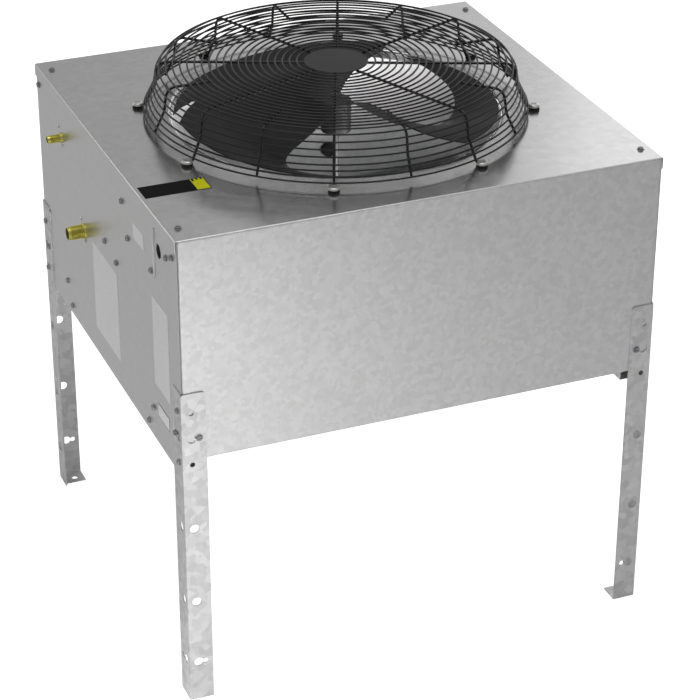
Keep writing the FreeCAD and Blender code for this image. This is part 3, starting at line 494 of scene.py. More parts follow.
def softened(node, name, width, corner=None, corner_width=0.0):
    """A copy of a solid's mesh, merged, its folds and edges rounded, that stands for the solid."""
    slot_name = slots[node]
    mesh = frame["nodes"][node].data.copy()
    work = bmesh.new()
    work.from_mesh(mesh)
    bmesh.ops.remove_doubles(work, verts=work.verts, dist=2e-5)
    bmesh.ops.dissolve_limit(work, angle_limit=math.radians(2), verts=work.verts, edges=work.edges)
    if corner:
        folds = [edge for edge in work.edges if corner(edge)]
        bmesh.ops.bevel(work, geom=folds, offset=corner_width, segments=5, profile=0.5, affect="EDGES",
                        clamp_overlap=True)
    work.to_mesh(mesh)
    work.free()
    piece = piece_of(name, mesh, slot_name)
    bevelled(piece, width)
    piece.data.shade_flat()
    settle(piece, slot_name, node, body=bodies[node])


slots = {part["node"]: part["material_slot"] for part in frame["record"]["subparts"]}
bodies = {node: body for body, members in frame["record"]["behaviour"]["bodies"].items() for node in members}


# Shape trees

def shape_tree(name, inputs):
    """A tree of shape nodes with named inputs, and the flows of those inputs."""
    tree = bpy.data.node_groups.new(name, "GeometryNodeTree")
    tree.interface.new_socket("Geometry", in_out="INPUT", socket_type="NodeSocketGeometry")
    for label, kind in inputs:
        tree.interface.new_socket(label, in_out="INPUT", socket_type="NodeSocket" + kind)
    tree.interface.new_socket("Geometry", in_out="OUTPUT", socket_type="NodeSocketGeometry")
    net = Net(tree)
    entry = tree.nodes.new("NodeGroupInput")
    flows = {"Geometry": Flow(net, entry.outputs["Geometry"])}
    for label, kind in inputs:
        flows[label] = Flow(net, entry.outputs[label])
    return net, flows


def close_tree(net, shape, material):
    """End a tree: make instances real and give them their finish."""
    real = net.node("GeometryNodeRealizeInstances", None, {"Geometry": shape})
    dressed = net.node("GeometryNodeSetMaterial", None, {"Geometry": real, "Material": material})
    net.node("NodeGroupOutput", None, {"Geometry": dressed})


def grown_by(piece, net, values):
    """Run a shape tree on a piece and keep the result as its plain mesh."""
    modifier = piece.modifiers.new("shape", "NODES")
    modifier.node_group = net.tree
    for item in net.tree.interface.items_tree:
        if item.in_out == "INPUT" and item.name in values:
            modifier[item.identifier] = values[item.name]
    made_plain(piece)


def ring_maker():
    """Wire rings: each point's reach is its ring's radius."""
    net, given = shape_tree("wire_rings", [("Wire radius", "Float"), ("Ring steps", "Int"),
                                           ("Wire steps", "Int"), ("Finish", "Material")])
    circle = net.node("GeometryNodeCurvePrimitiveCircle", None,
                      {"Resolution": given["Ring steps"], "Radius": 1.0})
    reach = net.node("GeometryNodeInputNamedAttribute", {"data_type": "FLOAT"}, {"Name": "reach"})
    size = net.node("ShaderNodeCombineXYZ", None, {0: reach, 1: reach, 2: 1.0})
    loops = net.node("GeometryNodeInstanceOnPoints", None,
                     {"Points": given["Geometry"], "Instance": circle, "Scale": size})
    real = net.node("GeometryNodeRealizeInstances", None, {"Geometry": loops})
    wire = net.node("GeometryNodeCurvePrimitiveCircle", None,
                    {"Resolution": given["Wire steps"], "Radius": given["Wire radius"]})
    tubes = net.node("GeometryNodeCurveToMesh", None, {"Curve": real, "Profile Curve": wire})
    close_tree(net, tubes, given["Finish"])
    return net


def turn_maker():
    """A piece repeated round the vertical axis."""
    net, given = shape_tree("round_the_axis", [("Count", "Int"), ("First angle", "Float"),
                                               ("Finish", "Material")])
    points = net.node("GeometryNodePoints", None, {"Count": given["Count"], "Position": (0.0, 0.0, 0.0)})
    number = net.node("GeometryNodeInputIndex")
    angle = given["First angle"] + number * (2 * math.pi) / given["Count"]
    turn = net.node("ShaderNodeCombineXYZ", None, {2: angle})
    copies = net.node("GeometryNodeInstanceOnPoints", None,
                      {"Points": points, "Instance": given["Geometry"], "Rotation": turn})
    close_tree(net, copies, given["Finish"])
    return net


def seat_maker():
    """A small part set on each point, its foot on the point and its top along the point's facing."""
    net, given = shape_tree("set_on_points", [("Part", "Object"), ("Finish", "Material")])
    part = net.node("GeometryNodeObjectInfo", {"transform_space": "ORIGINAL"},
                    {"Object": given["Part"], "As Instance": True}, "Geometry")
    facing = net.node("GeometryNodeInputNamedAttribute", {"data_type": "FLOAT_VECTOR"}, {"Name": "facing"})
    turn = net.node("FunctionNodeAlignRotationToVector", {"axis": "Z"}, {"Vector": facing})
    copies = net.node("GeometryNodeInstanceOnPoints", None,
                      {"Points": given["Geometry"], "Instance": part, "Rotation": turn})
    close_tree(net, copies, given["Finish"])
    return net


RINGS = ring_maker()
ROUND_AXIS = turn_maker()
ON_POINTS = seat_maker()


def wire_rings(name, circles, wire_radius, finish_name):
    """Rings of round wire, from their radii and heights."""
    mesh = bpy.data.meshes.new(name)
    mesh.from_pydata([(0, 0, height) for radius, height in circles], [], [])
    reach = mesh.attributes.new("reach", "FLOAT", "POINT")
    reach.data.foreach_set("value", [radius for radius, height in circles])
    piece = piece_of(name, mesh, finish_name)
    grown_by(piece, RINGS, {"Wire radius": wire_radius, "Ring steps": 144, "Wire steps": 8,
                            "Finish": finishes[finish_name]})
    piece.data.shade_smooth()
    return piece


def round_axis(piece, count, first_angle, finish_name):
    """Repeat a piece round the vertical axis."""
    grown_by(piece, ROUND_AXIS, {"Count": count, "First angle": first_angle, "Finish": finishes[finish_name]})


def on_points(name, part, places, finish_name):
    """Copies of a small part, each at a place and facing a direction; the part itself is used up."""
    mesh = bpy.data.meshes.new(name)
    mesh.from_pydata([spot for spot, direction in places], [], [])
    facing = mesh.attributes.new("facing", "FLOAT_VECTOR", "POINT")
    facing.data.foreach_set("vector", [part_of for spot, direction in places for part_of in direction])
    piece = piece_of(name, mesh, finish_name)
    grown_by(piece, ON_POINTS, {"Part": part, "Finish": finishes[finish_name]})
    bpy.data.objects.remove(part)
    return piece


# Cabinet shell: deck, front and rear bent from sheet, with rounded folds

def arc(centre, radius, start, end, steps=5):
    """Points of an arc in two directions, angles in degrees."""
    return [(centre[0] + radius * math.cos(math.radians(start + (end - start) * step / steps)),
             centre[1] + radius * math.sin(math.radians(start + (end - start) * step / steps)))
            for step in range(steps + 1)]


def deck_sheet():
    """The deck's plate with its drawn throat."""
    flat_x, flat_y = HALF_WIDTH - BEND, HALF_DEPTH - BEND
    corner = math.atan2(flat_y, flat_x)
    steps = 36
    turns = [-corner, corner, math.pi - corner, math.pi + corner, 2 * math.pi - corner]
    angles = [start + (end - start) * step / steps
              for start, end in zip(turns, turns[1:]) for step in range(steps)]
    throat = [(ORIFICE + THROAT_ROUND - THROAT_ROUND * math.sin(math.radians(turn)),
               DECK_TOP - THROAT_ROUND + THROAT_ROUND * math.cos(math.radians(turn)))
              for turn in range(0, 91, 15)] + [(ORIFICE, THROAT_FOOT)]
    rings = [[(radius * math.cos(angle), radius * math.sin(angle), height) for angle in angles]
             for radius, height in throat]
    edge = []
    for angle in angles:
        reach = min(flat_x / max(1e-9, abs(math.cos(angle))), flat_y / max(1e-9, abs(math.sin(angle))))
        edge.append((reach * math.cos(angle), reach * math.sin(angle), DECK_TOP))
    rings.insert(0, edge)
    return [spot for one in rings for spot in one], bands(len(rings), len(angles))


def lip_sheet():
    """The lips folded down at the deck's left and right."""
    fold = arc((HALF_WIDTH - BEND, DECK_TOP - BEND), BEND, 90, 0) + [(HALF_WIDTH, DECK_TOP - DECK_LIP)]
    return merged([bent_strip([(x * side, z) for x, z in fold], -LIP_END, LIP_END, "y") for side in (-1, 1)])


def bent_strip(line, low, high, along):
    """A strip that follows a line across and runs straight along x or y."""
    vertices = []
    for end in (low, high):
        for first, height in line:
            vertices.append((first, end, height) if along == "y" else (end, first, height))
    return vertices, bands(2, len(line), False)


def end_sheet(side):
    """Front or rear face: rounded over from the deck, with side and foot flanges."""
    flat_y = HALF_DEPTH - BEND
    top = arc((flat_y, DECK_TOP - BEND), BEND, 90, 0)
    foot = arc((flat_y, FRONT_BOTTOM + BEND), BEND, 0, -90) + [(WALL_Y - FOOT_FLANGE, FRONT_BOTTOM)]
    face_x = END_FACE_X - BEND
    parts = [bent_strip([(y * side, z) for y, z in top + foot], -face_x, face_x, "x")]
    level_top, level_foot = DECK_TOP - BEND, FRONT_BOTTOM + BEND
    for hand in (-1, 1):
        turn = arc((face_x, flat_y), BEND, 90, 0) + [(END_FACE_X, WALL_Y - SIDE_FLANGE)]
        turn = [(x * hand, y * side) for x, y in turn]
        low = [(x, y, level_foot) for x, y in turn]
        high = [(x, y, level_top) for x, y in turn]
        parts.append((low + high, bands(2, len(turn), False)))
        shoulder = [(x * hand, y * side, z) for y, z in top for x in (face_x, HALF_WIDTH - BEND)]
        parts.append((shoulder, [[2 * spot, 2 * spot + 1, 2 * spot + 3, 2 * spot + 2]
                                 for spot in range(len(top) - 3)]))
    return merged(parts)


def thickened(piece, thickness, offset=-1.0, even=True):
    """Give a sheet its thickness: inward, or with no offset to both sides."""
    wall = piece.modifiers.new("sheet", "SOLIDIFY")
    wall.thickness = thickness
    wall.offset = offset
    wall.use_even_offset = even
    return made_plain(piece)


def outward(piece):
    """Turn each face of an open sheet away from the cabinet's middle, and the throat's towards its axis."""
    work = bmesh.new()
    work.from_mesh(piece.data)
    for face in work.faces:
        spot = face.calc_center_median()
        if face.normal.dot(spot - CABINET_MIDDLE) < 0:
            face.normal_flip()
        in_throat = math.hypot(spot.x, spot.y) < ORIFICE + THROAT_ROUND and spot.z < DECK_TOP - 0.0004
        if in_throat and face.normal.dot(Vector((spot.x, spot.y, 0))) > 0:
            face.normal_flip()
    work.to_mesh(piece.data)
    work.free()
    return piece


def cabinet_shell():
    """Deck, lips, front and rear, each bent from its own sheet."""
    deck = outward(built("deck_skin", *deck_sheet(), "deck_steel"))
    settle(thickened(deck, DECK_SHEET), "deck_steel", "top_deck")
    lips = outward(built("deck_lips", *lip_sheet(), "panel_steel"))
    settle(thickened(lips, WALL_SHEET), "deck_steel", "top_deck")
    for side, node in ((-1, "front_panel"), (1, "rear_panel")):
        sheet = outward(built(node.replace("panel", "face"), *end_sheet(side), "spangled_steel"))
        settle(thickened(sheet, WALL_SHEET), "spangled_steel", node)


cabinet_shell()
softened("left_panel", "left_face", 0.0005)
softened("right_panel", "right_face", 0.0005)


def leg_fold(edge):
    """The long outer edge of an angle leg."""
    first, second = [corner.co for corner in edge.verts]
    return (abs(first.z - second.z) > 0.02 and min(abs(first.x), abs(second.x)) > HALF_WIDTH - 1e-4
            and min(abs(first.y), abs(second.y)) > LEG_Y - 1e-4)


for leg in ("leg_front_left", "leg_front_right", "leg_rear_left", "leg_rear_right"):
    softened(leg, leg.replace("leg", "angle"), 0.00035, leg_fold, LEG_FOLD)
softened("motor_bracket", "bracket_channel", 0.0005)
softened("control_box", "wiring_box", 0.0004)
softened("coil_end_plate_left", "tube_plate_left", 0.0004)
softened("coil_end_plate_right", "tube_plate_right", 0.0004)
softened("terminal_block", "terminal_strip", 0.001)


# Guard

KNEE = Vector((0.2849, 0, 0.0410))
FLARE_END = Vector((0.3006, 0, 0.0099))
SHOULDER_CENTRE = Vector((SHOULDER_START, 0, GUARD_HEIGHT - SHOULDER_RADIUS))


def shoulder_angle():
    """Angle from the vertical at which the shoulder runs on into the side wall."""
    away = KNEE - SHOULDER_CENTRE
    return math.atan2(away.x, away.z) - math.acos(SHOULDER_RADIUS / away.length)


def on_shoulder(angle):
    return SHOULDER_CENTRE + Vector((math.sin(angle), 0, math.cos(angle))) * SHOULDER_RADIUS


WALL_START = on_shoulder(shoulder_angle())
WALL_RUN = KNEE - WALL_START
FLARE_RUN = FLARE_END - KNEE
ARC_LENGTH = shoulder_angle() * SHOULDER_RADIUS


def along_guard(travel):
    """A point of the guard's outline, at a travel from the start of its shoulder."""
    if travel <= ARC_LENGTH:
        return on_shoulder(travel / SHOULDER_RADIUS)
    travel -= ARC_LENGTH
    if travel <= WALL_RUN.length:
        return WALL_START + WALL_RUN.normalized() * travel
    return KNEE + FLARE_RUN.normalized() * (travel - WALL_RUN.length)


flat_radii = [FIRST_RING + RING_PITCH * number for number in range(FLAT_RINGS)]
top_circles = [(radius, DECK_TOP + GUARD_HEIGHT) for radius in flat_radii]
whole_run = ARC_LENGTH + WALL_RUN.length + FLARE_RUN.length
upper_runs = [flat_radii[-1] - SHOULDER_START + RING_PITCH * (number + 1)
              for number in range(SIDE_RINGS - LOW_RINGS)]
lower_pitch = (whole_run - upper_runs[-1]) / LOW_RINGS
lower_runs = [upper_runs[-1] + lower_pitch * (number + 1) for number in range(LOW_RINGS)]
side_spots = [along_guard(run) for run in upper_runs + lower_runs]
side_circles = [(spot.x, DECK_TOP + spot.z) for spot in side_spots]

top_rings = wire_rings("guard_crown_rings", top_circles, RING_WIRE / 2, "guard_black")
settle(top_rings, "guard_black", "guard_top_rings")
skirt_rings = wire_rings("guard_skirt_rings", side_circles, RING_WIRE / 2, "guard_black")
settle(skirt_rings, "guard_black", "guard_side_rings")


def strut_path(start_radius, eye):
    """The centre line of a strut: flat, over the shoulder, down the wall, out along the flare."""
    sink = (RING_WIRE + STRUT_WIRE) / 2 - WIRE_SINK
    level = GUARD_HEIGHT - sink
    wall = WALL_RUN.normalized()
    flare = FLARE_RUN.normalized()
    wall_normal = Vector((-wall.z, 0, wall.x))
    flare_normal = Vector((-flare.z, 0, flare.x))
    top = WALL_START - wall_normal * sink
    along = (level - top.z) / wall.z
    shoulder_corner = top + wall * along
    halfway = (wall_normal + flare_normal).normalized()
    knee = KNEE - halfway * (sink / halfway.dot(wall_normal))
    foot = FLARE_END - flare_normal * sink
    path = rounded([(start_radius, 0, level), shoulder_corner, knee], SHOULDER_RADIUS - sink, 8)[:-1]
    tail = [knee, foot]
    if eye:
        eye_level = PAD_THICKNESS + STRUT_WIRE / 2
        heel = Vector((foot.x + (foot.z - eye_level) * 0.5, 0, eye_level))
        tail += [heel, Vector((GUARD_BOLT_RADIUS - EYE_RADIUS - WIRE_SINK, 0, eye_level))]
    path += rounded([path[-1]] + tail, 0.004, 4)[1:]
    return [spot + Vector((0, 0, DECK_TOP)) for spot in path]


def eye_ring():
    """The loop that a long strut's wire makes round its screw."""
    profile = [(EYE_RADIUS + STRUT_WIRE / 2 * math.cos(turn * math.pi / 4),
                STRUT_WIRE / 2 * math.sin(turn * math.pi / 4)) for turn in range(8)]
    return lathe("eye_ring", profile, "guard_black", 24,
                 (GUARD_BOLT_RADIUS, 0, DECK_TOP + PAD_THICKNESS + STRUT_WIRE / 2), "z", 60)


def strut(name, start_radius, eye):
    """One strut in the plane of X and Z."""
    bar = swept(strut_path(start_radius, eye), STRUT_WIRE / 2, Vector((0, 1, 0)))
    return built(name, *bar, "guard_black", 50)


long_strut = joined("guard_long_bars", [strut("long_bar", LONG_STRUT_START, True), eye_ring()], "guard_black")
round_axis(long_strut, GUARD_FEET, FOOT_ANGLE, "guard_black")
settle(long_strut, "guard_black", "guard_long_struts")
short_strut = strut("guard_short_bars", SHORT_STRUT_START, False)
round_axis(short_strut, GUARD_FEET, 0.0, "guard_black")
settle(short_strut, "guard_black", "guard_short_struts")

disc_low = DECK_TOP + GUARD_HEIGHT - 0.0013
disc_profile = [(0, 0), (DISC_RADIUS - 0.0008, 0), (DISC_RADIUS, 0.0006), (DISC_RADIUS, 0.0014),
                (DISC_RADIUS - 0.0008, DISC_SHEET), (0, DISC_SHEET)]
disc = lathe("guard_cap", disc_profile, "disc_black", 96, (0, 0, disc_low))
settle(disc, "disc_black", "guard_disc")

washer_profile = [(0.004, 0), (0.0084, 0), (0.0088, 0.0006), (0.0088, 0.0024), (0.0082, PAD_THICKNESS),
                  (0.004, PAD_THICKNESS)]
washer = lathe("guard_pads", washer_profile, "washer_rubber", 32, (GUARD_BOLT_RADIUS, 0, DECK_TOP))
round_axis(washer, GUARD_FEET, FOOT_ANGLE, "washer_rubber")
settle(washer, "washer_rubber", "guard_washers")
cap_profile = [(0, 0.0004), (0.0081, 0.0004), (0.0084, 0.0008), (0.0084, 0.0036), (0.0080, 0.0044),
               (0.0070, 0.0049), (0.0040, 0.0052), (0.0038, 0.0044), (0, 0.0044)]
cap = lathe("guard_cap_screws", cap_profile, "cap_zinc", 32,
            (GUARD_BOLT_RADIUS, 0, DECK_TOP + PAD_THICKNESS + 0.0012))
round_axis(cap, GUARD_FEET, FOOT_ANGLE, "cap_zinc")
settle(cap, "zinc_screw", "guard_screws")


# Screws

def prism(outline, levels):
    """An upright prism's vertices and faces, from its outline and the height and scale of each level."""
    vertices = [(x * share, y * share, height) for height, share in levels for x, y in outline]
    count = len(outline)
    last = (len(levels) - 1) * count
    return vertices, bands(len(levels), count) + [list(range(count)), list(range(last, last + count))]


def hex_screw(across=0.0046, flange=0.0058, height=0.0036, slot=0.0006):
    """A slotted hexagon head on a round flange, its foot at the origin."""
    rim = [(0, 0), (flange, 0), (flange, 0.0004), (across * 0.98, 0.0009), (0, 0.0009)]
    ring = lathe("screw_flange", rim, "zinc_screw", 24)
    corners = [(across * math.cos(math.pi / 3 * turn), across * math.sin(math.pi / 3 * turn))
               for turn in range(6)]
    slot_foot = height - 0.0014
    parts = [prism(corners, ((0.0008, 1.0), (slot_foot, 1.0)))]
    reach = across - slot / math.sqrt(3)
    flat = corners[1][1]
    for side in (-1, 1):
        half = [(reach, slot), (across / 2, flat), (-across / 2, flat), (-reach, slot)]
        half = [(x, y * side) for x, y in half]
        parts.append(prism(half, ((slot_foot, 1.0), (height - 0.0005, 1.0), (height, 0.9))))
    head = built("screw_hexagon", *merged(parts), "zinc_screw")
    return joined("screw", [ring, head], "zinc_screw")


def screws(name, places, node):
    """Screw heads at their places, standing for the screws of a node."""
    settle(on_points(name, hex_screw(), places, "zinc_screw"), "zinc_screw", node)


def on_service_side(from_front, drop):
    """A place on the service side, in millimetres from the front edge and below the deck top, facing out."""
    return (-SIDE_FACE_X, from_front * MM - HALF_DEPTH, DECK_TOP - drop * MM), (-1, 0, 0)


LEG_SCREWS = ((0.0155, 0.511), (0.027, 0.468), (0.0155, 0.424))
LEG_FRONT_SCREW = (0.027, 0.468)
leg_places = []
for hand in (-1, 1):
    for side in (-1, 1):
        for inset, height in LEG_SCREWS:
            leg_places.append(((HALF_WIDTH * hand, (LEG_Y - inset) * side, height), (hand, 0, 0)))
        inset, height = LEG_FRONT_SCREW
        leg_places.append((((HALF_WIDTH - inset) * hand, LEG_Y * side, height), (0, side, 0)))
screws("angle_screws", leg_places, "leg_screws")

PANEL_SCREWS = [(256.5, 48.4), (357.6, 160.5), (234.0, 100.1), (300.2, 171.8), (121.8, 101.1), (48.7, 47.1),
                (21.6, 34.5), (588.4, 338.0), (566.0, 374.3), (134.8, 338.3), (159.7, 373.4), (702.1, 32.8)]
screws("face_screws", [on_service_side(*spot) for spot in PANEL_SCREWS], "panel_screws")
DECK_SCREW = (0.3689, 0.318)
deck_places = [((DECK_SCREW[0] * hand, DECK_SCREW[1] * side, DECK_TOP), (0, 0, 1))
               for hand in (-1, 1) for side in (-1, 1)]
screws("plate_screws", deck_places, "deck_screws")
bolt_reach = MOTOR_BOLT_CIRCLE * math.cos(math.pi / 4)
bolt_places = [((bolt_reach * hand, bolt_reach * side, BOLT_LEVEL), (0, 0, -1))
               for hand, side in ((1, 1), (-1, 1), (-1, -1), (1, -1))]
screws("mount_bolts", bolt_places, "motor_bolts")


# Fan and motor

def grown(factors, out):
    """A cubic in the share of the way out from the root."""
    start, slope, curve, hook = factors
    return start + slope * out + curve * out ** 2 + hook * out ** 3


def risen(heights, out):
    """A height from those at the root and the tip, with a swell between them."""
    root, tip, middle = heights
    return root * (1 - out) + tip * out + middle * 4 * out * (1 - out)


def blade_spot(out, across):
    """A point of the blade's middle surface, from shares of the way out and across."""
    radius = ROOT_RADIUS + (FAN_RADIUS - ROOT_RADIUS) * out
    angle = math.radians(grown(EDGE_ANGLE, out) + grown(SPAN_ANGLE, out) * across)
    camber = BLADE_CAMBER * 4 * across * (1 - across) * out
    rise = risen(UPPER_EDGE, out) * (1 - across) + risen(LOWER_EDGE, out) * across - camber
    return Vector((radius * math.cos(angle), radius * math.sin(angle), DECK_TOP + rise))


def blades():
    """Thin swept blades, their roots sunk in the hub."""
    out_steps, across_steps = 26, 30
    first = (HUB_RADIUS - 0.0006 - ROOT_RADIUS) / (FAN_RADIUS - ROOT_RADIUS)
    vertices = [blade_spot(first + (1 - first) * out / out_steps, across / across_steps)
                for out in range(out_steps + 1) for across in range(across_steps + 1)]
    faces = bands(out_steps + 1, across_steps + 1, False)
    piece = built("pressed_blades", vertices, faces, "blade_black")
    thickened(piece, BLADE_SHEET, 0.0, False)
    round_axis(piece, BLADES, 0.0, "blade_black")
    piece.data.shade_smooth()
    piece.data.set_sharp_from_angle(angle=math.radians(50))
    return piece


settle(blades(), "blade_black", "fan_blades", body="fan")
hub_shoulder = HUB_HEIGHT - 0.0008
hub_profile = [(HUB_BORE, 0), (HUB_RADIUS - 0.0008, 0), (HUB_RADIUS, 0.0008), (HUB_RADIUS, hub_shoulder),
               (HUB_RADIUS - 0.0008, HUB_HEIGHT), (0.0105, HUB_HEIGHT), (0.0098, hub_shoulder),
               (HUB_BORE, hub_shoulder)]
hub = lathe("hub_boss", hub_profile, "hub_steel", 48, (0, 0, HUB_TOP - HUB_HEIGHT))
settle(hub, "hub_steel", "fan_hub", body="fan")

motor_profile = [(0, 0), (0.044, 0), (0.046, 0.0008), (0.059, 0.0130), (0.060, 0.0150), (0.060, 0.028),
                 (0.0588, 0.029), (0.0588, 0.037), (0.060, 0.038), (0.060, 0.051), (0.059, 0.0532),
                 (0.0475, 0.0588), (0.046, 0.0600), (0.026, 0.0600), (0.0255, 0.066), (0.0131, 0.066),
                 (0, 0.0655)]
motor = lathe("motor_shell", motor_profile, "motor_grey", 64, (0, 0, MOTOR_FOOT))
settle(motor, "motor_grey", "motor_body")


# Couplings

def coupling(name, node, thread, reach, line):
    """A threaded hollow stub on a collar, with a plain shank behind the panel."""
    bore = thread - 0.002
    shank = thread - 0.0008
    collar = thread + 0.0015
    groove = thread - 0.001
    collar_top = 0.0044
    tip = reach + WALL_SHEET
    profile = [(bore, -SHANK), (shank, -SHANK), (shank, WALL_SHEET), (collar, WALL_SHEET),
               (collar, 0.0037), (collar - 0.0005, 0.0042), (groove, collar_top)]
    for number in range(int((reach - collar_top - 0.0015) / THREAD_PITCH)):
        level = collar_top + THREAD_PITCH * number
        profile += [(groove, level + THREAD_PITCH * 0.15), (thread, level + THREAD_PITCH * 0.45),
                    (thread, level + THREAD_PITCH * 0.62), (groove, level + THREAD_PITCH * 0.92)]
    profile += [(groove - 0.0001, tip - 0.0006), (groove - 0.0006, tip), (bore, tip)]
    piece = lathe(name, profile, "coupling_brass", 64, (-WALL_X, *line), "-x", 25)
    settle(piece, "coupling_brass", node)


coupling("small_coupling", "liquid_coupling", 0.007, 0.023, LIQUID_LINE)
coupling("large_coupling", "gas_coupling", 0.0115, 0.028, GAS_LINE)


def copper_pipe(radius, line):
    """A pipe from a coupling's shank, bent down to the coil."""
    y, z = line
    tail = SHANK - WALL_X
    drop_x = tail + 0.026
    path = rounded([(tail, y, z), (drop_x, y, z), (drop_x, y, PIPE_END)], 0.022, 10)
    return swept(path, radius, Vector((0, 1, 0)), 20)


pipes = built("copper_lines", *merged([copper_pipe(0.005, LIQUID_LINE), copper_pipe(0.0095, GAS_LINE)]),
              "copper", 40)
settle(pipes, "copper", "coil_pipes")


# Coil: fine fins and hairpin bends

def hairpin():
    """One bend between two tubes, opening towards -Z of its own frame, foot at the origin."""
    half = HAIRPIN_PITCH / 2
    reach = 0.0152
    path = rounded([(0, -half, 0), (0, -half, reach), (0, half, reach), (0, half, 0)], HAIRPIN_RADIUS, 8)
    return built("hairpin", *swept(path, 0.0048, Vector((1, 0, 0)), 10), "copper", 50)


def bend_places(side, skip):
    """Places of the bends on one end plate; each row starts one tube on from the row below."""
    coil_y = WALL_Y - FOOT_FLANGE - 0.014
    tubes = int((2 * coil_y - HAIRPIN_PITCH) // HAIRPIN_PITCH)
    first_y = -HAIRPIN_PITCH * (tubes - 1) / 2
    level = FINS_FOOT + (FINS_HEIGHT - TUBE_ROW_PITCH * (TUBE_ROWS - 1)) / 2
    x = (WALL_X - PLATE_INSET) * side
    return [((x, first_y + HAIRPIN_PITCH * (tube + 0.5), level + TUBE_ROW_PITCH * row), (side, 0, 0))
            for row in range(TUBE_ROWS) for tube in range((skip + row) % 2, tubes - 1, 2)]


for hand, end, skip in ((-1, "left", 0), (1, "right", 1)):
    bends = on_points("hairpins_" + end, hairpin(), bend_places(hand, skip), "copper")
    settle(bends, "copper", "coil_bends_" + end)


def coil_fins():
    """Thin upright fins, each on its own point."""
    low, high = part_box("coil_fins")
    pitch = (high.x - low.x) / FIN_COUNT
    half = FIN_SHEET / 2
    fin = built("fin", *block((-half, low.y, low.z), (half, high.y, high.z)), "fin_aluminium")
    places = [((low.x + pitch * (number + 0.5), 0, 0), (0, 0, 1)) for number in range(FIN_COUNT)]
    return on_points("thin_fins", fin, places, "fin_aluminium")


settle(coil_fins(), "fin_aluminium", "coil_fins")

capacitor_low, capacitor_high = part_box("capacitor")
middle = (capacitor_low + capacitor_high) / 2
can_radius = (capacitor_high.x - capacitor_low.x) / 2
can_height = capacitor_high.z - capacitor_low.z
can_profile = [(0, 0), (can_radius - 0.001, 0), (can_radius, 0.001), (can_radius, can_height - 0.004),
               (can_radius - 0.002, can_height - 0.002), (can_radius - 0.003, can_height),
               (can_radius - 0.004, can_height - 0.002), (0, can_height - 0.002)]
can = lathe("start_can", can_profile, "can_aluminium", 48, (middle.x, middle.y, capacitor_low.z))
settle(can, "can_aluminium", "capacitor")


# Labels on the service side and the strip on the deck

LABELS = [("label_large", (300.0, 428.5), (192.0, 345.0), 0.0004, "label_paper"),
          ("label_second", (51.0, 124.0), (142.0, 290.0), 0.0004, "label_paper"),
          ("label_small", (154.0, 205.0), (60.0, 85.0), 0.0004, "label_paper"),
          ("label_framed_edge", (59.5, 112.7), (318.0, 341.0), 0.0003, "label_edge"),
          ("label_framed", (60.6, 111.6), (319.1, 339.9), 0.0005, "label_paper")]


def label(name, from_front, drop, thickness, finish_name):
    """A thin plate on the service side, from its distances to the front edge and below the deck top."""
    low = (-SIDE_FACE_X - thickness, from_front[0] * MM - HALF_DEPTH, DECK_TOP - drop[1] * MM)
    high = (SKIN - SIDE_FACE_X, from_front[1] * MM - HALF_DEPTH, DECK_TOP - drop[0] * MM)
    plate = bevelled(built(name, *block(low, high), finish_name), min(0.00015, thickness * 0.4), 1)
    settle(plate, "panel_steel")


for values in LABELS:
    label(*values)


def strip_block(x_from, x_to, y_from, y_to, thickness):
    """A thin block on the deck, in millimetres from its left and front edges."""
    return block((x_from * MM - HALF_WIDTH, y_from * MM - HALF_DEPTH, DECK_TOP - SKIN),
                 (x_to * MM - HALF_WIDTH, y_to * MM - HALF_DEPTH, DECK_TOP + thickness))


NOTCH_WIDTH = 3.4
NOTCHES = ((89.0, 8.0), (95.8, 5.0), (102.2, 5.0))
notches = [strip_block(x, x + NOTCH_WIDTH, 190.8 - depth, 191.2, 0.0006) for x, depth in NOTCHES]
strip_parts = [("strip_dark", strip_block(6.8, 108.9, 151.7, 191.8, 0.0003), "strip_black"),
               ("strip_bright", strip_block(87.5, 107.6, 153.0, 190.4, 0.0004), "strip_yellow"),
               ("strip_notches", merged(notches), "strip_black")]
for name, shape, finish_name in strip_parts:
    settle(built(name, *shape, finish_name), "deck_steel")

grommet_profile = [(0, -0.0070), (0.0075, -0.0082), (0.0085, -0.0100), (0.0105, -0.0100), (0.0122, -0.0085),
                   (0.0125, -0.0065), (0.0125, 0.0010), (0, 0.0010)]
grommet = lathe("wall_grommet", grommet_profile, "washer_rubber", 40, GROMMET_PLACE, "y")
settle(grommet, "washer_rubber")

rivet = lathe("rivet", [(0, 0), (0.0034, 0), (0.0033, 0.0008), (0.0024, 0.0016), (0.001, 0.0019), (0, 0.002)],
              "zinc_screw", 20)
RIVETS = [(595.5, 63.9), (577.8, 90.8), (488.7, 180.2), (468.8, 211.8)]
rivet_places = [on_service_side(*spot) for spot in RIVETS]
settle(on_points("collar_rivets", rivet, rivet_places, "cap_zinc"), "zinc_screw")

# Finishes of the solids that stay
for node, solid in frame["nodes"].items():
    for index in range(len(solid.data.materials)):
        solid.data.materials[index] = finishes[slots[node]]
    if not solid.data.materials:
        solid.data.materials.append(finishes[slots[node]])


# Floor, light and camera

def floor_paint(net):
    """A plain pale floor; the camera sees it as white as the air behind it."""
    looked_at = net.node("ShaderNodeLightPath", output="Is Camera Ray")
    return {"Base Color": net.mixed(net.noise(net.place(), 2.0), grey(0.78), grey(0.80)), "Roughness": 0.9,
            "Emission Color": net.mixed(looked_at, grey(0.0), grey(FLOOR_GLOW)), "Emission Strength": 1.0}


floor = bpy.data.meshes.new("studio_floor")
floor_corners = [(x * FLOOR_REACH, y * FLOOR_REACH, 0) for x in (-1, 1) for y in (-1, 1)]
floor.from_pydata(floor_corners, [], [[0, 2, 3, 1]])
floor.materials.append(finish("floor_paint", floor_paint))
placed("studio_floor", floor)


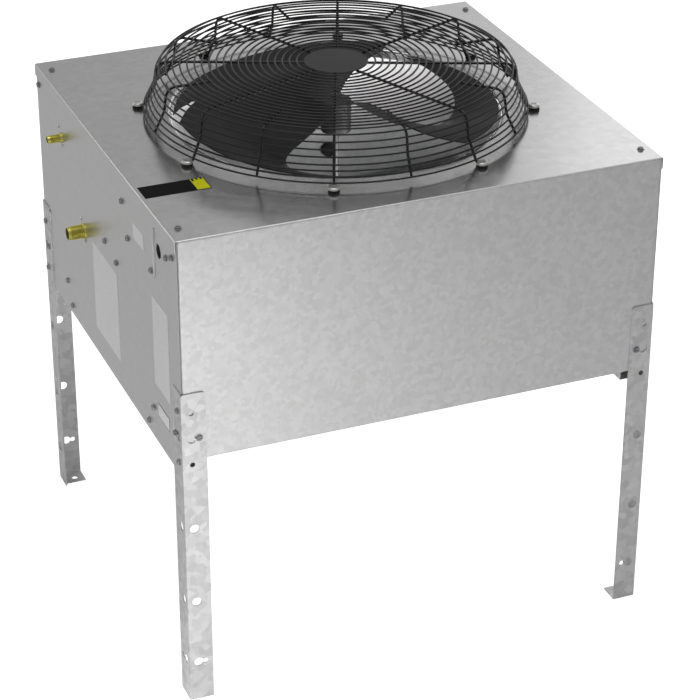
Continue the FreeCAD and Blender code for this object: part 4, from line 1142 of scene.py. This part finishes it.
def area_light(name, place, target, size, power):
    """A rectangular lamp that looks at its target and isn't seen itself."""
    lamp = bpy.data.lights.new(name, "AREA")
    lamp.shape = "RECTANGLE"
    lamp.size, lamp.size_y = size
    lamp.energy = power
    lamp_piece = placed(name, lamp)
    lamp_piece.location = place
    lamp_piece.visible_camera = False
    lamp_piece.rotation_euler = (Vector(place) - Vector(target)).to_track_quat("Z", "Y").to_euler()


area_light("floor_front_left", (-0.30, -1.6, 0.6), (-0.30, -1.6, 0.0), (0.3, 0.3), 8.5)
area_light("floor_by_leg", (-0.55, -0.65, 0.5), (-0.55, -0.65, 0.0), (0.2, 0.2), 2.8)
area_light("edge_left", (-2.9, 3.6, 1.9), (-0.38, 0, 0.79), (1.5, 1.2), 16)
area_light("back_right", (4.36, 5.0, 3.1), (0.1, 0, 0.75), (2.4, 3.0), 21)
area_light("back_middle", (1.9, 4.3, 2.6), (0, 0, 0.79), (1.2, 1.4), 1.6)
area_light("overhead", (0.0, 0.0, 4.2), (0, 0, 0), (2.4, 2.4), 42)
area_light("inside_fill", (0.12, -0.22, 0.510), (0.12, 0.3, 0.62), (0.50, 0.22), 3.8)

world = bpy.data.worlds.new("studio_air")
bpy.context.scene.world = world
world.use_nodes = True
air = Net(world.node_tree)
air.tree.nodes.clear()
seen = air.node("ShaderNodeLightPath", output="Is Camera Ray")
soft = air.node("ShaderNodeBackground", None, {"Color": grey(0.47), "Strength": 1.0})
white = air.node("ShaderNodeBackground", None, {"Color": grey(1.0), "Strength": 1.0})
both = air.node("ShaderNodeMixShader", None, {0: seen, 1: soft, 2: white})
air.node("ShaderNodeOutputWorld", None, {"Surface": both})

lens = bpy.data.cameras.new("viewpoint")
lens.lens = FOCAL_LENGTH
lens.sensor_width = SENSOR_WIDTH
lens.clip_end = 100.0
camera = placed("viewpoint", lens)
right, up = Vector(CAMERA_RIGHT), Vector(CAMERA_UP)
view = Matrix((right, up, right.cross(up))).transposed().to_4x4()
view.translation = CAMERA_PLACE
camera.matrix_world = view
bpy.context.scene.camera = camera
bpy.context.scene.view_settings.view_transform = "Standard"
